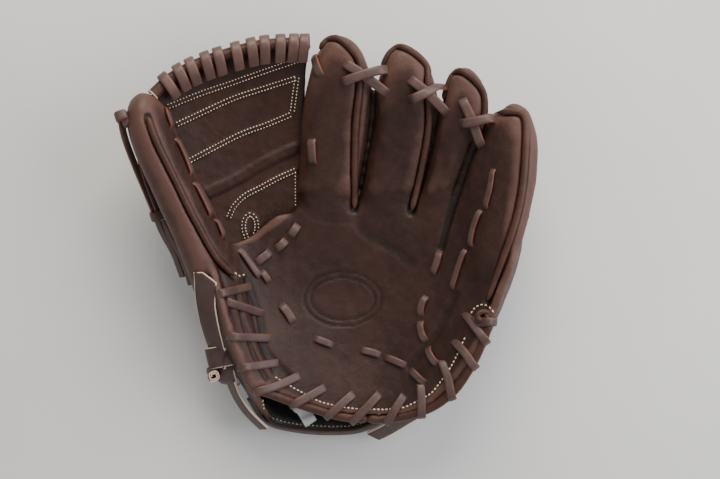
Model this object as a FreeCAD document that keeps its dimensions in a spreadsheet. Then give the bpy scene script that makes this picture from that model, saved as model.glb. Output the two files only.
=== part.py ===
import FreeCAD
import Part
import math
import os

from FreeCAD import Rotation, Vector

# Fielder's glove for the left hand, lying open on its back: X to the little-finger side, Y to the
# fingertips, Z up out of the pocket. The origin is the centre of the glove's footprint, on the ground.

doc = FreeCAD.newDocument("glove")
sheet = doc.addObject("Spreadsheet::Sheet", "sizes")

SIZES = {
    "leather": 2.6,  # shell leather
    "lining": 1.4,  # palm and wrist lining
    "felt": 4.0,  # palm pad
    "heel_felt": 8.0,  # heel pads
    "stay_thick": 3.0,  # stiffeners of the two outer edges
    "lace_wide": 6.5,
    "lace_thick": 2.0,
    "welt_radius": 1.9,
    "binding_radius": 3.6,
    "play": 0.3,  # free space between neighbours
    "crease_gap": 1.2,  # from a fold's axis to the leather on each side
    "web_gap": 12.0,  # between the web's two halves, at its centre fold
    "turn_over": 13.0,  # a heel lace's leg over the leather
    "turn_under": 4.5,  # its leg under the leather, clear of the pad
    "strap_tall": 18.0,
    "strap_thick": 3.0,
    "thumb_strap_wide": 15.0,
    "thumb_strap_thick": 1.8,
    "label_long": 13.0,
    "label_wide": 10.0,
    "back_front_edge": 24.0,  # the back leather's end under the knuckles
    "back_heel_edge": 112.0,  # the back leather's end at the wrist, towards -Y
}
for row, (alias, value) in enumerate(SIZES.items(), start=1):
    sheet.set(f"A{row}", alias)
    sheet.set(f"B{row}", str(value))
    sheet.setAlias(f"B{row}", alias)
doc.recompute()


def size(alias):
    return float(sheet.get(alias))


UP = Vector(0, 0, 1)
nodes = []


def keep(label, shape):
    """Adds a soft or wound piece whose shape is worked out here."""
    piece = doc.addObject("Part::Feature", label)
    piece.Label = label
    piece.Shape = shape
    piece.Placement = FreeCAD.Placement()
    nodes.append(piece)


# ---- fold axes --------------------------------------------------------------------------------------

THUMB_HEEL, THUMB_TOP = Vector(-30, -115, 53), Vector(-60, 8, 43)
LITTLE_HEEL, LITTLE_TOP = Vector(50, -124, 53), Vector(62, 4, 51)


def crease(low, high, y, side, drop):
    """The point beside a fold's axis at one y: side is -1 to its left and 1 to its right."""
    share = (y - low.y) / (high.y - low.y)
    point = low + (high - low) * share
    return point + Vector(side * size("crease_gap"), 0, -drop)


# ---- panels: curved leather, given by rows of points across the glove -------------------------------


def skin(rows):
    surface = Part.BSplineSurface()
    surface.interpolate(rows)
    return surface


def panel(rows, thick, along=None):
    """A curved sheet of one thickness through rows of points."""
    direction = (along or Vector(0, 0, -1)).normalize()
    return skin(rows).toShape().extrude(direction * thick)


def layer(rows, thick, drop, margin, count=6):
    """A sheet under the panel of the same rows, stopping short of its outline by a share of it."""
    surface = skin(rows)
    shares = [margin + (1 - 2 * margin) * step / count for step in range(count + 1)]
    grid = [[surface.value(u, v) - UP * drop for v in shares] for u in shares]
    return panel(grid, thick)


def between(first, last, crowns):
    """A row of points from first to last, each lifted by its crown."""
    steps = len(crowns) + 1
    inner = [
        first + (last - first) * (index / steps) + UP * crown
        for index, crown in enumerate(crowns, start=1)
    ]
    return [first, *inner, last]


def palm_rows():
    def left(y, drop):
        return crease(THUMB_HEEL, THUMB_TOP, y, 1, drop)

    def right(y, drop):
        return crease(LITTLE_HEEL, LITTLE_TOP, y, -1, drop)

    return [
        between(left(-115, 2), right(-123, 2), (1.0, 0.5, 1.0)),
        between(left(-80, 3), right(-80, 4), (-5.0, -7.0, -4.0)),
        between(left(-40, 3), right(-40, 5), (-7.0, -9.0, -5.0)),
        between(left(-8, 2), right(-8, 5), (-4.0, -6.0, -3.0)),
        [left(7, 1), Vector(-26, 29, 45), Vector(16, 28, 47), Vector(42, 22, 47), right(5, 4)],
    ]


def thumb_heel_rows():
    def edge(y):
        return crease(THUMB_HEEL, THUMB_TOP, y, -1, 1)

    return [
        between(edge(-109), Vector(-58, -112, 62), (1.0,)),
        between(edge(-75), Vector(-70, -74, 70), (-2.0,)),
        between(edge(-40), Vector(-79, -42, 74), (-5.0,)),
        between(edge(-6), Vector(-84, -25, 72), (-8.0,)),
    ]


def little_heel_rows():
    def edge(y, drop):
        return crease(LITTLE_HEEL, LITTLE_TOP, y, 1, drop)

    return [
        between(edge(-122, 2), Vector(96, -117, 60), (1.0, 1.0)),
        between(edge(-85, 4), Vector(115, -85, 76), (-4.0, -3.0)),
        between(edge(-52, 5), Vector(127, -54, 84), (-8.0, -7.0)),
        between(edge(-26, 5), Vector(137, -28, 86), (-11.0, -10.0)),
        [edge(1, 3), Vector(80, 0, 46), Vector(104, -13, 56), Vector(141, -15, 84)],
    ]


def wall_rows(crest, foot, crowns):
    """An outer wall: rows from each crest point down to the foot point below it."""
    return [between(top, bottom, crowns) for top, bottom in zip(crest, foot)]


# ---- stalls: the fingers and the thumb, each a front and a back gutter -------------------------------

# Each station: centre, half width, half depth, roll in degrees (the front turns to the left).
STALLS = {
    "index": [
        (Vector(-1, 33, 27), 22, 21, 0),
        (Vector(3, 62, 31), 24, 19, 0),
        (Vector(6, 92, 41), 25, 17, 0),
        (Vector(8.5, 122, 51), 23, 15, 0),
        (Vector(9, 143, 58), 17, 11.5, 0),
        (Vector(9, 154, 61), 7, 5.5, 0),
    ],
    "middle": [
        (Vector(45, 25, 27), 21.5, 21, 0),
        (Vector(53, 57, 31), 23, 19, 0),
        (Vector(60, 90, 41), 23, 17, 0),
        (Vector(60.5, 116, 51), 21.5, 15, 0),
        (Vector(59, 135, 58), 16, 11.5, 0),
        (Vector(58, 146, 61), 7, 5.5, 0),
    ],
    "ring": [
        (Vector(77.5, 5, 31), 13, 17, 8),
        (Vector(87, 34, 34), 13.5, 17, 12),
        (Vector(95, 60, 41), 14, 16, 14),
        (Vector(104, 96, 53), 17, 14, 12),
        (Vector(106, 118, 61), 13, 10, 10),
        (Vector(105, 129, 64), 6, 5, 10),
    ],
    "little": [
        (Vector(118.5, -9, 52), 25.5, 16, 35),
        (Vector(126.5, 23, 54), 25.5, 16, 35),
        (Vector(133.5, 47, 57), 24, 15.5, 35),
        (Vector(138.5, 72, 63), 21.5, 14, 33),
        (Vector(142, 91, 69), 15.5, 11, 30),
        (Vector(142, 101, 73), 6.5, 5, 30),
    ],
    "thumb": [
        (Vector(-90, -7, 52), 22, 13, -52),
        (Vector(-105, 22, 60), 22, 13, -55),
        (Vector(-118, 50, 70), 21, 12.5, -56),
        (Vector(-130, 77, 77), 18, 11.5, -56),
        (Vector(-136, 96, 80), 13.5, 9, -56),
        (Vector(-138, 106, 82), 6, 4.5, -56),
    ],
}
FRONT, BACK = 1, -1


def frames(stations):
    """For each station, its centre and the unit vectors across the stall and out of its front."""
    made = []
    last = len(stations) - 1
    for index, (centre, _, _, roll) in enumerate(stations):
        before = stations[max(index - 1, 0)][0]
        after = stations[min(index + 1, last)][0]
        course = (after - before).normalize()
        across = course.cross(UP).normalize()
        turn = Rotation(course, -roll)
        across = turn.multVec(across)
        out = across.cross(course)
        made.append((centre, across, out, course))
    return made


def section(frame, wide, deep, side, foot):
    """A half oval on one side of the seam, closed by two short legs of height foot."""
    centre, across, out, _ = frame
    angles = [math.pi * step / 8 for step in range(9)]
    oval = [
        centre + across * (wide * math.cos(angle)) + out * (side * (foot + deep * math.sin(angle)))
        for angle in angles
    ]
    arch = Part.BSplineCurve()
    arch.interpolate(oval)
    return arch, oval[0], oval[-1]


def half_oval(frame, wide, deep, side, foot, base):
    arch, start, end = section(frame, wide, deep, side, foot)
    out = frame[2] * (side * (base - foot))
    low_start, low_end = start + out, end + out
    edges = [
        Part.LineSegment(low_start, start).toShape(),
        arch.toShape(),
        Part.LineSegment(end, low_end).toShape(),
        Part.LineSegment(low_end, low_start).toShape(),
    ]
    return Part.Wire(edges)


def gutter(stations, side):
    """One leather of a stall: a hollow half, closed at the tip and open at the palm."""
    thick, play = size("leather"), size("play")
    placed = frames(stations)
    outer = [
        half_oval(frame, wide, deep, side, play, play / 2)
        for frame, (_, wide, deep, _) in zip(placed, stations)
    ]
    inner = []
    for index, (frame, (_, wide, deep, _)) in enumerate(zip(placed[:-1], stations[:-1])):
        centre, across, out, course = frame
        if index == 0:
            centre = centre - course * thick
        if index == len(stations) - 2:
            centre = centre - course * thick
        hollow = (centre, across, out, course)
        inner.append(half_oval(hollow, wide - thick, deep - thick, side, play, -thick))
    return Part.makeLoft(outer, True).cut(Part.makeLoft(inner, True))


def surface_point(frame, wide, deep, angle, lift):
    """A point above the stall's front at an angle from its right edge, in degrees."""
    centre, across, out, _ = frame
    turn = math.radians(angle)
    normal = across * (math.cos(turn) / wide) + out * (math.sin(turn) / deep)
    point = centre + across * (wide * math.cos(turn)) + out * (deep * math.sin(turn))
    return point + normal.normalize() * lift


def tube(points, radius):
    """A round bar along a smooth line."""
    line = Part.BSplineCurve()
    line.interpolate(points)
    spine = Part.Wire([line.toShape()])
    start = line.tangent(line.FirstParameter)[0]
    ring = Part.Wire([Part.makeCircle(radius, points[0], start)])
    return spine.makePipeShell([ring], True, False)


def welt(stations, angle):
    """The piping along a stall's seam, at an angle from its right edge."""
    radius = size("welt_radius")
    lift = radius + 2 * size("play")
    placed = frames(stations)
    points = [
        surface_point(frame, wide, deep, angle, lift)
        for frame, (_, wide, deep, _) in zip(placed[:-1], stations[:-1])
    ]
    return tube(points, radius)


# ---- laces -------------------------------------------------------------------------------------------


def strip(start, end, normal, lift, wide, thick):
    """A straight flat strip from start to end, lying on a surface with this normal."""
    run = end - start
    side = run.cross(normal).normalize()
    face = side.cross(run).normalize()
    corner = start + face * lift - side * (wide / 2)
    outline = [corner, corner + side * wide, corner + side * wide + run, corner + run, corner]
    return Part.Face(Part.makePolygon(outline)).extrude(face * thick)


def ribbon(start, end, normal=UP, lift=0.0):
    """A straight piece of lace."""
    return strip(start, end, normal, lift, size("lace_wide"), size("lace_thick"))


def facets(shape):
    """The triangles of a shape's surface, each as its three corners."""
    points, triangles = shape.tessellate(0.5)
    return [[points[corner] for corner in triangle] for triangle in triangles]


def height(triangles, x, y):
    """The height of the highest triangle over one point of the ground, or 0 beside them all."""
    top = 0.0
    for a, b, c in triangles:
        if not (min(a.x, b.x, c.x) <= x <= max(a.x, b.x, c.x)):
            continue
        if not (min(a.y, b.y, c.y) <= y <= max(a.y, b.y, c.y)):
            continue
        area = (b.x - a.x) * (c.y - a.y) - (c.x - a.x) * (b.y - a.y)
        if not area:
            continue
        along = ((x - a.x) * (c.y - a.y) - (c.x - a.x) * (y - a.y)) / area
        across = ((b.x - a.x) * (y - a.y) - (x - a.x) * (b.y - a.y)) / area
        if along >= 0 and across >= 0 and along + across <= 1:
            top = max(top, a.z + (b.z - a.z) * along + (c.z - a.z) * across)
    return top


def laid(ground, start, end, level=False):
    """The ends of a lace from one (x, y) to another, raised until it clears the ground below."""
    first, last = Vector(*start, 0), Vector(*end, 0)
    beside = (last - first).cross(UP).normalize() * (size("lace_wide") / 2)
    samples = []
    for step in range(7):
        point = first + (last - first) * (step / 6)
        tops = [height(ground, *(point + beside * side)[:2]) for side in (-1, 0, 1)]
        samples.append(max(tops))
    low, high = (max(samples), max(samples)) if level else (samples[0], samples[-1])
    raised = max(top - low - (high - low) * step / 6 for step, top in enumerate(samples))
    return [Vector(*start, low + raised), Vector(*end, high + raised)]


def lying(shape, routes):
    """Short laces lying on a shape, one for each pair of (x, y) points."""
    ground = facets(shape)
    return compound([ribbon(*laid(ground, *route), lift=size("play")) for route in routes])


def crossed(shape, lower, upper):
    """Two ribbons across each other over a shape, joined where they cross."""
    ground = facets(shape)
    first, last = laid(ground, *lower, level=True), laid(ground, *upper, level=True)
    rest = max(first[0].z, last[0].z)
    for point in first + last:
        point.z = rest
    under = ribbon(*first, lift=size("play"))
    over = ribbon(*last, lift=size("play") + size("lace_thick"))
    return under.fuse(over).removeSplitter()


def edge_turn(at, inward, normal):
    """A lace bent round an edge: a leg over the leather, one round its end and one under it."""
    wide, thick, play = size("lace_wide"), size("lace_thick"), size("play")
    reach = inward.normalize()
    side = reach.cross(normal).normalize()
    up = side.cross(reach)
    start = at - reach * (thick + play) + up * (play + thick) - side * (wide / 2)
    top_leg, bottom_leg = size("turn_over"), size("turn_under")
    down = size("leather") + 2 * (play + thick)
    corners = [
        (0, 0),
        (top_leg, 0),
        (top_leg, -thick),
        (thick, -thick),
        (thick, thick - down),
        (bottom_leg, thick - down),
        (bottom_leg, -down),
        (0, -down),
        (0, 0),
    ]
    outline = [start + reach * along + up * rise for along, rise in corners]
    return Part.Face(Part.makePolygon(outline)).extrude(side * wide)


def turns(rows, shares):
    """Laces bent round the outer edge of a panel, at shares of the way from its heel."""
    surface = skin(rows)
    made = []
    for share in shares:
        at, inner = surface.value(share, 1.0), surface.value(share, 0.8)
        normal = (inner - at).cross(surface.value(share + 0.02, 1.0) - at)
        if normal.z < 0:
            normal = -normal
        made.append(edge_turn(at, inner - at, normal))
    return compound(made)


def compound(solids):
    return Part.makeCompound(solids)


# ---- sketched pieces ---------------------------------------------------------------------------------


def body(label, placement=None):
    part = doc.addObject("PartDesign::Body", label)
    part.Label = label
    part.Placement = placement or FreeCAD.Placement()
    nodes.append(part)
    return part


def sketch_on(part, name, role, outline):
    """A sketch on one of the body's own planes, from straight edges or three-point arcs."""
    sketch = part.newObject("Sketcher::SketchObject", name)
    plane = next(item for item in part.Origin.OriginFeatures if item.Role == role)
    sketch.AttachmentSupport = [(plane, "")]
    sketch.MapMode = "FlatFace"
    for piece in outline:
        points = [Vector(x, y, 0) for x, y in piece]
        if len(points) == 2:
            sketch.addGeometry(Part.LineSegment(*points), False)
        else:
            sketch.addGeometry(Part.Arc(*points), False)
    return sketch


def closed(corners):
    """The straight edges of a closed outline."""
    return [(corners[index - 1], corners[index]) for index in range(len(corners))]


def padded(label, corners, length, placement, round_by=None):
    """A flat piece cut to an outline and of one thickness, with its upright corners rounded."""
    part = body(label, placement)
    sketch = sketch_on(part, label + "_outline", "XY_Plane", closed(corners))
    pad = part.newObject("PartDesign::Pad", label + "_pad")
    pad.Profile = sketch
    pad.setExpression("Length", f"sizes.{length}")
    doc.recompute()
    if round_by:
        upright = [
            f"Edge{index}"
            for index, edge in enumerate(pad.Shape.Edges, start=1)
            if abs(edge.Vertexes[0].Z - edge.Vertexes[1].Z) > 0.5
        ]
        fillet = part.newObject("PartDesign::Fillet", label + "_corners")
        fillet.Base = (pad, upright)
        fillet.Radius = round_by
        part.Tip = fillet
        pad.Visibility = False
    doc.recompute()
    return part


def lifted(height):
    return FreeCAD.Placement(Vector(0, 0, height), Rotation())


def band(label, inner, grow, tall, foot):
    """A strap that stands on its edge along an arc through three points."""
    part = body(label, lifted(foot))
    outer = [(x * grow, y * grow) for x, y in inner]
    outline = [
        tuple(inner),
        (inner[2], outer[2]),
        tuple(reversed(outer)),
        (outer[0], inner[0]),
    ]
    sketch = sketch_on(part, label + "_outline", "XY_Plane", outline)
    pad = part.newObject("PartDesign::Pad", label + "_pad")
    pad.Profile = sketch
    pad.setExpression("Length", tall)
    doc.recompute()
    return part


# ---- the hand's body: palm, index and middle finger, back and wrist ----------------------------------

leather, lining, felt, play = size("leather"), size("lining"), size("felt"), size("play")

front, heel = size("back_front_edge"), -size("back_heel_edge")
back_corners = [(-26, heel), (44, heel), (56, -60), (62, front), (-22, front), (-46, -20), (-36, -70)]
padded("back_leather", back_corners, "leather", lifted(0), 8)
lining_corners = [(x * 0.9 + 0.8, y * 0.93 - 3) for x, y in back_corners]
padded("back_lining", lining_corners, "lining", lifted(leather + play), 6)

rows = palm_rows()
keep("palm_leather", panel(rows, leather))
keep("palm_felt_pad", layer(rows, felt, leather + play, 0.08))
keep("palm_lining", layer(rows, lining, leather + felt + 2 * play, 0.05))

fronts = {name: gutter(stations, FRONT) for name, stations in STALLS.items()}
backs = {name: gutter(stations, BACK) for name, stations in STALLS.items()}
for finger in ("index", "middle"):
    keep(f"{finger}_finger_front", fronts[finger])
    keep(f"{finger}_finger_back", backs[finger])
    keep(f"{finger}_finger_welt", welt(STALLS[finger], 48))

WRIST_ARC = ((-61, -124), (-6, -147), (48, -133))  # the strap's inner face, seen from above
WRIST_REACH = 145  # how far that face lies from the glove's centre, on average
lining_arc = [(x * 0.975, y * 0.975) for x, y in WRIST_ARC]
lining_grow = 1.012  # the lining's outer face against its inner one
band("wrist_strap", WRIST_ARC, 1 + size("strap_thick") / WRIST_REACH, "sizes.strap_tall", 2)
band("wrist_lining", lining_arc, lining_grow, "sizes.strap_tall - 1", 4)

padded(
    "wrist_label",
    [(0, 0), (size("label_long"), 0), (size("label_long"), size("label_wide")), (0, size("label_wide"))],
    "play",
    FreeCAD.Placement(Vector(-22, -136.5, 21.5), Rotation(Vector(0, 0, 1), -14)),
)

flap_rows = [
    [Vector(38, -144, 33), Vector(52, -140, 34), Vector(66, -133, 36)],
    [Vector(36, -151, 24), Vector(50, -148, 25), Vector(64, -143, 28)],
    [Vector(34, -157, 12), Vector(44, -156, 12), Vector(56, -151, 14)],
]
keep("wrist_flap", panel(flap_rows, leather))

heel_out = Vector(0, -4.2, -3.2)  # the binding lies under the leather's edge, outside the pad
keep("heel_binding", tube([point + heel_out for point in rows[0]], size("binding_radius") - 1))

palm = panel(rows, leather)
keep("palm_lace", lying(palm, [((-12, -74), (6, -81)), ((23, -84), (42, -88))]))
base_runs = [((-26, 14), (-33, 8)), ((-36, 4), (-42, -3)), ((-44, -8), (-49, -15))]
keep("web_base_lace", lying(palm, base_runs))
keep("web_index_lace", lying(fronts["index"], [((-7, 136), (-2, 118)), ((-13, 78), (-11, 60))]))
tips = compound([fronts["index"], fronts["middle"]])
keep("index_middle_lace", crossed(tips, ((13, 134), (48, 112)), ((11, 121), (47, 130))))
tips = compound([fronts["middle"], fronts["ring"]])
keep("middle_ring_lace", crossed(tips, ((63, 123), (91, 98)), ((63, 108), (91, 117))))

# ---- the thumb's side --------------------------------------------------------------------------------

thumb_rows = thumb_heel_rows()
keep("thumb_heel_leather", panel(thumb_rows, leather))
keep("thumb_heel_pad", layer(thumb_rows, size("heel_felt"), leather + play, 0.13))
keep("thumb_front", fronts["thumb"])
keep("thumb_back", backs["thumb"])
keep("thumb_welt", welt(STALLS["thumb"], 140))

outward = Vector(-1, 0, -0.3)
thumb_crest = [row[-1] + Vector(-5, 0, -3) for row in thumb_rows]
thumb_foot = [Vector(-66, -113, 30), Vector(-80, -76, 26), Vector(-92, -44, 30), Vector(-97, -26, 34)]
keep("thumb_side_leather", panel(wall_rows(thumb_crest, thumb_foot, (1.0,)), leather, along=outward))
stay_crest = [point + Vector(4.5, 0, -14) for point in thumb_crest]
stay_foot = [point + Vector(4.5, 0, 6) for point in thumb_foot]
keep("thumb_stay", panel(wall_rows(stay_crest, stay_foot, (1.0,)), size("stay_thick"), along=outward))
keep("thumb_heel_lace", turns(thumb_rows, (0.06, 0.28, 0.5, 0.72)))
thumb_heel = panel(thumb_rows, leather)
edge_runs = [((-124, 92), (-118, 80)), ((-112, 66), (-106, 54)), ((-101, 44), (-95, 32))]
keep("thumb_edge_lace", lying(fronts["thumb"], edge_runs))
keep("thumb_palm_lace", lying(thumb_heel, [((-69, -20), (-62, -32)), ((-57, -46), (-51, -60))]))

outer_top = Vector(-152, 88, 86)
keep("thumb_outer_lace", compound([
    ribbon(outer_top, Vector(-134, 32, 66), Vector(-1, 0, 0.4), 3.5),
    ribbon(Vector(-145, 64, 66), Vector(-132, 24, 56), Vector(-1, 0, 0.2), 3.5),
]))
keep("thumb_lace_knot", Part.makeSphere(6.0, outer_top + Vector(-1, 9, 6)))
keep("thumb_lace_tail", ribbon(Vector(-128, 8, 48), Vector(-110, -28, 34), Vector(-1, -0.3, 0.1), 3.5))


def frame_piece(label, placement, wide, high, deep):
    """A folded band that holds a strap: a rectangular loop with the strap's space cut out."""
    part = body(label, placement)
    wall = size("lace_thick")
    edge = [(0, 0), (wide, 0), (wide, high), (0, high)]
    pad = part.newObject("PartDesign::Pad", label + "_block")
    pad.Profile = sketch_on(part, label + "_outline", "XY_Plane", closed(edge))
    pad.Length = deep
    doc.recompute()
    whole = pad.Shape.Volume
    hole = [(wall, wall), (wide - wall, wall), (wide - wall, high - wall), (wall, high - wall)]
    pocket = part.newObject("PartDesign::Pocket", label + "_space")
    pocket.Profile = sketch_on(part, label + "_hole", "XY_Plane", closed(hole))
    pocket.Type = "ThroughAll"
    pocket.Reversed = True
    doc.recompute()
    if pocket.Shape.Volume > whole * 0.95:
        raise RuntimeError(label + " has no space for its strap")
    return part


facing_out = Rotation(Vector(1, 0, 0), 90)
frame_piece("thumb_lace_keeper", FreeCAD.Placement(Vector(-142, 20, 41), facing_out), 10, 15, 8)
frame_piece("strap_keeper", FreeCAD.Placement(Vector(-97, -82, 46), facing_out), 11, 22, 14)
strap_run = (Vector(-95.2, -24, 62), Vector(-90.2, -104, 56))
keep("adjusting_strap", strip(*strap_run, Vector(-1, 0, 0), 0, size("thumb_strap_wide"), size("thumb_strap_thick")))

# ---- the little finger's side ------------------------------------------------------------------------

little_rows = little_heel_rows()
keep("little_heel_leather", panel(little_rows, leather))
keep("little_heel_pad", layer(little_rows, size("heel_felt"), leather + play, 0.12))
for finger in ("ring", "little"):
    keep(f"{finger}_finger_front", fronts[finger])
    keep(f"{finger}_finger_back", backs[finger])
keep("ring_finger_welt", welt(STALLS["ring"], 120))
keep("little_finger_welt", welt(STALLS["little"], 40))

outward = Vector(1, 0, -0.3)
little_crest = [row[-1] + Vector(5, 0, -3) for row in little_rows]
little_foot = [
    Vector(88, -120, 28),
    Vector(108, -86, 26),
    Vector(121, -54, 28),
    Vector(132, -28, 30),
    Vector(137, -15, 32),
]
keep("little_side_leather", panel(wall_rows(little_crest, little_foot, (1.0,)), leather, along=outward))
stay_crest = [point + Vector(-10, 0, -18) for point in little_crest]
stay_foot = [point + Vector(-8, 0, 8) for point in little_foot]
keep("little_stay", panel(wall_rows(stay_crest, stay_foot, (1.0,)), size("stay_thick"), along=outward))

keep("little_heel_lace", turns(little_rows, (0.05, 0.17, 0.29, 0.41, 0.53)))
little_heel = panel(little_rows, leather)
little_runs = [((64, -97), (75, -107)), ((79, -62), (74, -48)), ((77, -76), (83, -90))]
keep("little_palm_lace", lying(little_heel, little_runs))
keep("little_chain_lace", lying(fronts["little"], [((119, 42), (116, 26)), ((113, 16), (110, 0))]))
tips = compound([fronts["ring"], fronts["little"]])
keep("ring_little_lace", crossed(tips, ((105, 108), (123, 78)), ((103, 92), (128, 96))))
keep("little_rolled_end", tube([Vector(131, -37, 94), Vector(123, -43, 91), Vector(118, -49, 88)], 4.0))


# ---- the web, in two halves that fold at its centre ---------------------------------------------------

WEB_TOP = (Vector(-124, 108, 84), Vector(-73, 133, 76), Vector(-24, 147, 69))
WEB_LOW = (Vector(-74, 14, 46), Vector(-54, 23, 40), Vector(-36, 40, 46))
MIDDLE_SHARE = 0.47  # how far down the web its two panels meet
SAG = 8.0


def web_line(share):
    """The web's thumb, centre and index points at a share of the way down."""
    thumb, centre, index = (top + (low - top) * share for top, low in zip(WEB_TOP, WEB_LOW))
    sag = SAG * math.sin(math.pi * min(share * 1.3, 1.0))
    return thumb, centre - UP * sag, index


def web_half(first, last, side):
    """One half of a web panel between two shares: side 0 is the thumb's half, 1 the index finger's."""
    rows = []
    for step in range(4):
        thumb, centre, index = web_line(first + (last - first) * step / 3)
        near = thumb if side == 0 else index
        half_gap = (near - centre).normalize() * (size("web_gap") / 2)
        rows.append(between(near, centre + half_gap, (-1.0, -1.0)))
    return panel(rows, 2 * leather)


def web_binding_half(side):
    thumb, centre, index = WEB_TOP
    near = thumb if side == 0 else index
    radius = size("binding_radius")
    away = Vector(-1, 3, 0).normalize() * (radius + 2 * play)
    half_gap = (near - centre).normalize() * (size("web_gap") / 2)
    middle = (near + centre) * 0.5 + Vector(-0.6, 1.8, -1)
    points = [near + away, middle + away, centre + half_gap + away]
    return points, tube([point - UP * leather for point in points], radius)


def wrap_turns(points, count):
    """Square turns of lace round the binding, as separate loops."""
    line = Part.BSplineCurve()
    line.interpolate(points)
    made = []
    inside = size("binding_radius") + play
    wide = size("lace_wide")
    for index in range(count):
        place = line.FirstParameter + (line.LastParameter - line.FirstParameter) * (index + 0.5) / count
        course = line.tangent(place)[0]
        start = line.value(place) - UP * leather - course * (wide / 2)
        solid = Part.makeCylinder(inside + size("lace_thick"), wide, start, course)
        made.append(solid.cut(Part.makeCylinder(inside, wide, start, course)))
    return compound(made)


for side, half in enumerate(("thumb", "index")):
    keep(f"web_upper_{half}_half", web_half(0.02, MIDDLE_SHARE, side))
    keep(f"web_lower_{half}_half", web_half(MIDDLE_SHARE + 0.01, 1.0, side))
    route, binding = web_binding_half(side)
    keep(f"web_binding_{half}_half", binding)
    keep(f"web_wrap_lace_{half}_half", wrap_turns(route, 5))

# ---- checks and files ---------------------------------------------------------------------------------

doc.recompute()
for item in doc.Objects:
    if {"Invalid", "Error"} & set(item.State):
        raise RuntimeError(f"{item.Label} failed: {item.State}")
os.makedirs("parts", exist_ok=True)
for node in nodes:
    if node.Shape.isNull() or not node.Shape.isValid():
        raise RuntimeError(f"{node.Label} has no valid shape")
    node.Shape.exportStep(f"parts/{node.Label}.step")
whole = compound([node.Shape for node in nodes]).BoundBox
print(len(nodes), "nodes,", whole)
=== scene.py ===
import math

import bpy
import numpy as np
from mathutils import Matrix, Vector, noise
from mathutils.bvhtree import BVHTree
from mathutils.kdtree import KDTree


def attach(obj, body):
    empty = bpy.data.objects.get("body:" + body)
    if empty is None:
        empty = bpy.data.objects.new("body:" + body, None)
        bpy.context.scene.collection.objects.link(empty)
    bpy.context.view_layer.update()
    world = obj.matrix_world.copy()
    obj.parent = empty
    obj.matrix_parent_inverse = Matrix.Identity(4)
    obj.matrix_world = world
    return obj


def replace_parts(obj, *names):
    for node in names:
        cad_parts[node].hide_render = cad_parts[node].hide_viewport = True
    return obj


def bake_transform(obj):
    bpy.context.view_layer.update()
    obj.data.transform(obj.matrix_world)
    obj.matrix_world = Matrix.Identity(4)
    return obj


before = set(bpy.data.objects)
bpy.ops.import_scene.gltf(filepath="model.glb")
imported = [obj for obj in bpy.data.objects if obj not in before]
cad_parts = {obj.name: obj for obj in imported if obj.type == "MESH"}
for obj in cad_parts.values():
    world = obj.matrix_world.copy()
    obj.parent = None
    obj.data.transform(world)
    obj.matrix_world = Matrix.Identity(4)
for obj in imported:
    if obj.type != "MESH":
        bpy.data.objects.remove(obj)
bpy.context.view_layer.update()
print("frame loaded")

# small tools: lengths are given in millimetres and turned to metres at the mesh


def through(points, share):  # smooth value at a share of the way along a list of number lists
    last = len(points) - 1
    place = min(max(share, 0.0), 1.0) * last
    index = min(int(place), last - 1)
    t = place - index
    a, b = points[max(index - 1, 0)], points[index]
    c, d = points[index + 1], points[min(index + 2, last)]
    return [
        0.5 * (2 * q + (r - p) * t + (2 * p - 5 * q + 4 * r - s) * t * t + (3 * q - p - 3 * r + s) * t ** 3)
        for p, q, r, s in zip(a, b, c, d)
    ]


def eased(points, times=1):  # ends held, every other point drawn towards its neighbours
    for _ in range(times):
        inner = [(a + b * 2 + c) / 4 for a, b, c in zip(points, points[1:], points[2:])]
        points = [points[0], *inner, points[-1]]
    return points


def smoothStep(low, high, value):
    t = min(max((value - low) / (high - low), 0.0), 1.0)
    return t * t * (3 - 2 * t)


def deselectAll():
    for obj in list(bpy.context.selected_objects):
        obj.select_set(False)


def pick(obj):
    deselectAll()
    obj.select_set(True)
    bpy.context.view_layer.objects.active = obj


def applyModifier(obj, kind, **settings):
    pick(obj)
    modifier = obj.modifiers.new(kind.lower(), kind)
    for key, value in settings.items():
        setattr(modifier, key, value)
    bpy.ops.object.modifier_apply(modifier=modifier.name)


def smoothFaces(obj):
    obj.data.polygons.foreach_set("use_smooth", [True] * len(obj.data.polygons))
    return obj


def formGrid(name, across, along, place, wrap=False):  # a grid bent so that place(u, v) gives each point
    deselectAll()
    bpy.ops.mesh.primitive_grid_add(x_subdivisions=across, y_subdivisions=along, size=1, location=(0, 0, 0))
    piece = bpy.context.object
    piece.name = name
    piece.data.name = name
    for vertex in piece.data.vertices:
        vertex.co = place(vertex.co.x + 0.5, vertex.co.y + 0.5) / 1000
    if wrap:  # closed round u, with its ends filled
        bpy.ops.object.mode_set(mode="EDIT")
        bpy.ops.mesh.select_all(action="SELECT")
        bpy.ops.mesh.remove_doubles(threshold=0.000005)
        bpy.ops.mesh.select_all(action="SELECT")
        bpy.ops.mesh.fill_holes(sides=0)
        bpy.ops.mesh.select_all(action="SELECT")
        bpy.ops.mesh.normals_make_consistent(inside=False)
        bpy.ops.object.mode_set(mode="OBJECT")
    return smoothFaces(piece)


def joined(name, pieces):
    pick(pieces[0])
    for piece in pieces[1:]:
        piece.select_set(True)
    if len(pieces) > 1:
        bpy.ops.object.join()
    whole = bpy.context.object
    whole.name = name
    whole.data.name = name
    return whole


def meshFrom(name, points, faces):
    mesh = bpy.data.meshes.new(name)
    mesh.from_pydata([Vector(point) / 1000 for point in points], [], faces)
    mesh.validate()
    piece = bpy.data.objects.new(name, mesh)
    bpy.context.scene.collection.objects.link(piece)
    return smoothFaces(piece)


def coordinates(obj):
    flat = np.zeros(len(obj.data.vertices) * 3, np.float32)
    obj.data.vertices.foreach_get("co", flat)
    return flat.reshape(-1, 3).astype(float)


def setCoordinates(obj, points):
    obj.data.vertices.foreach_set("co", points.astype(np.float32).ravel())
    obj.data.update()


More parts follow.
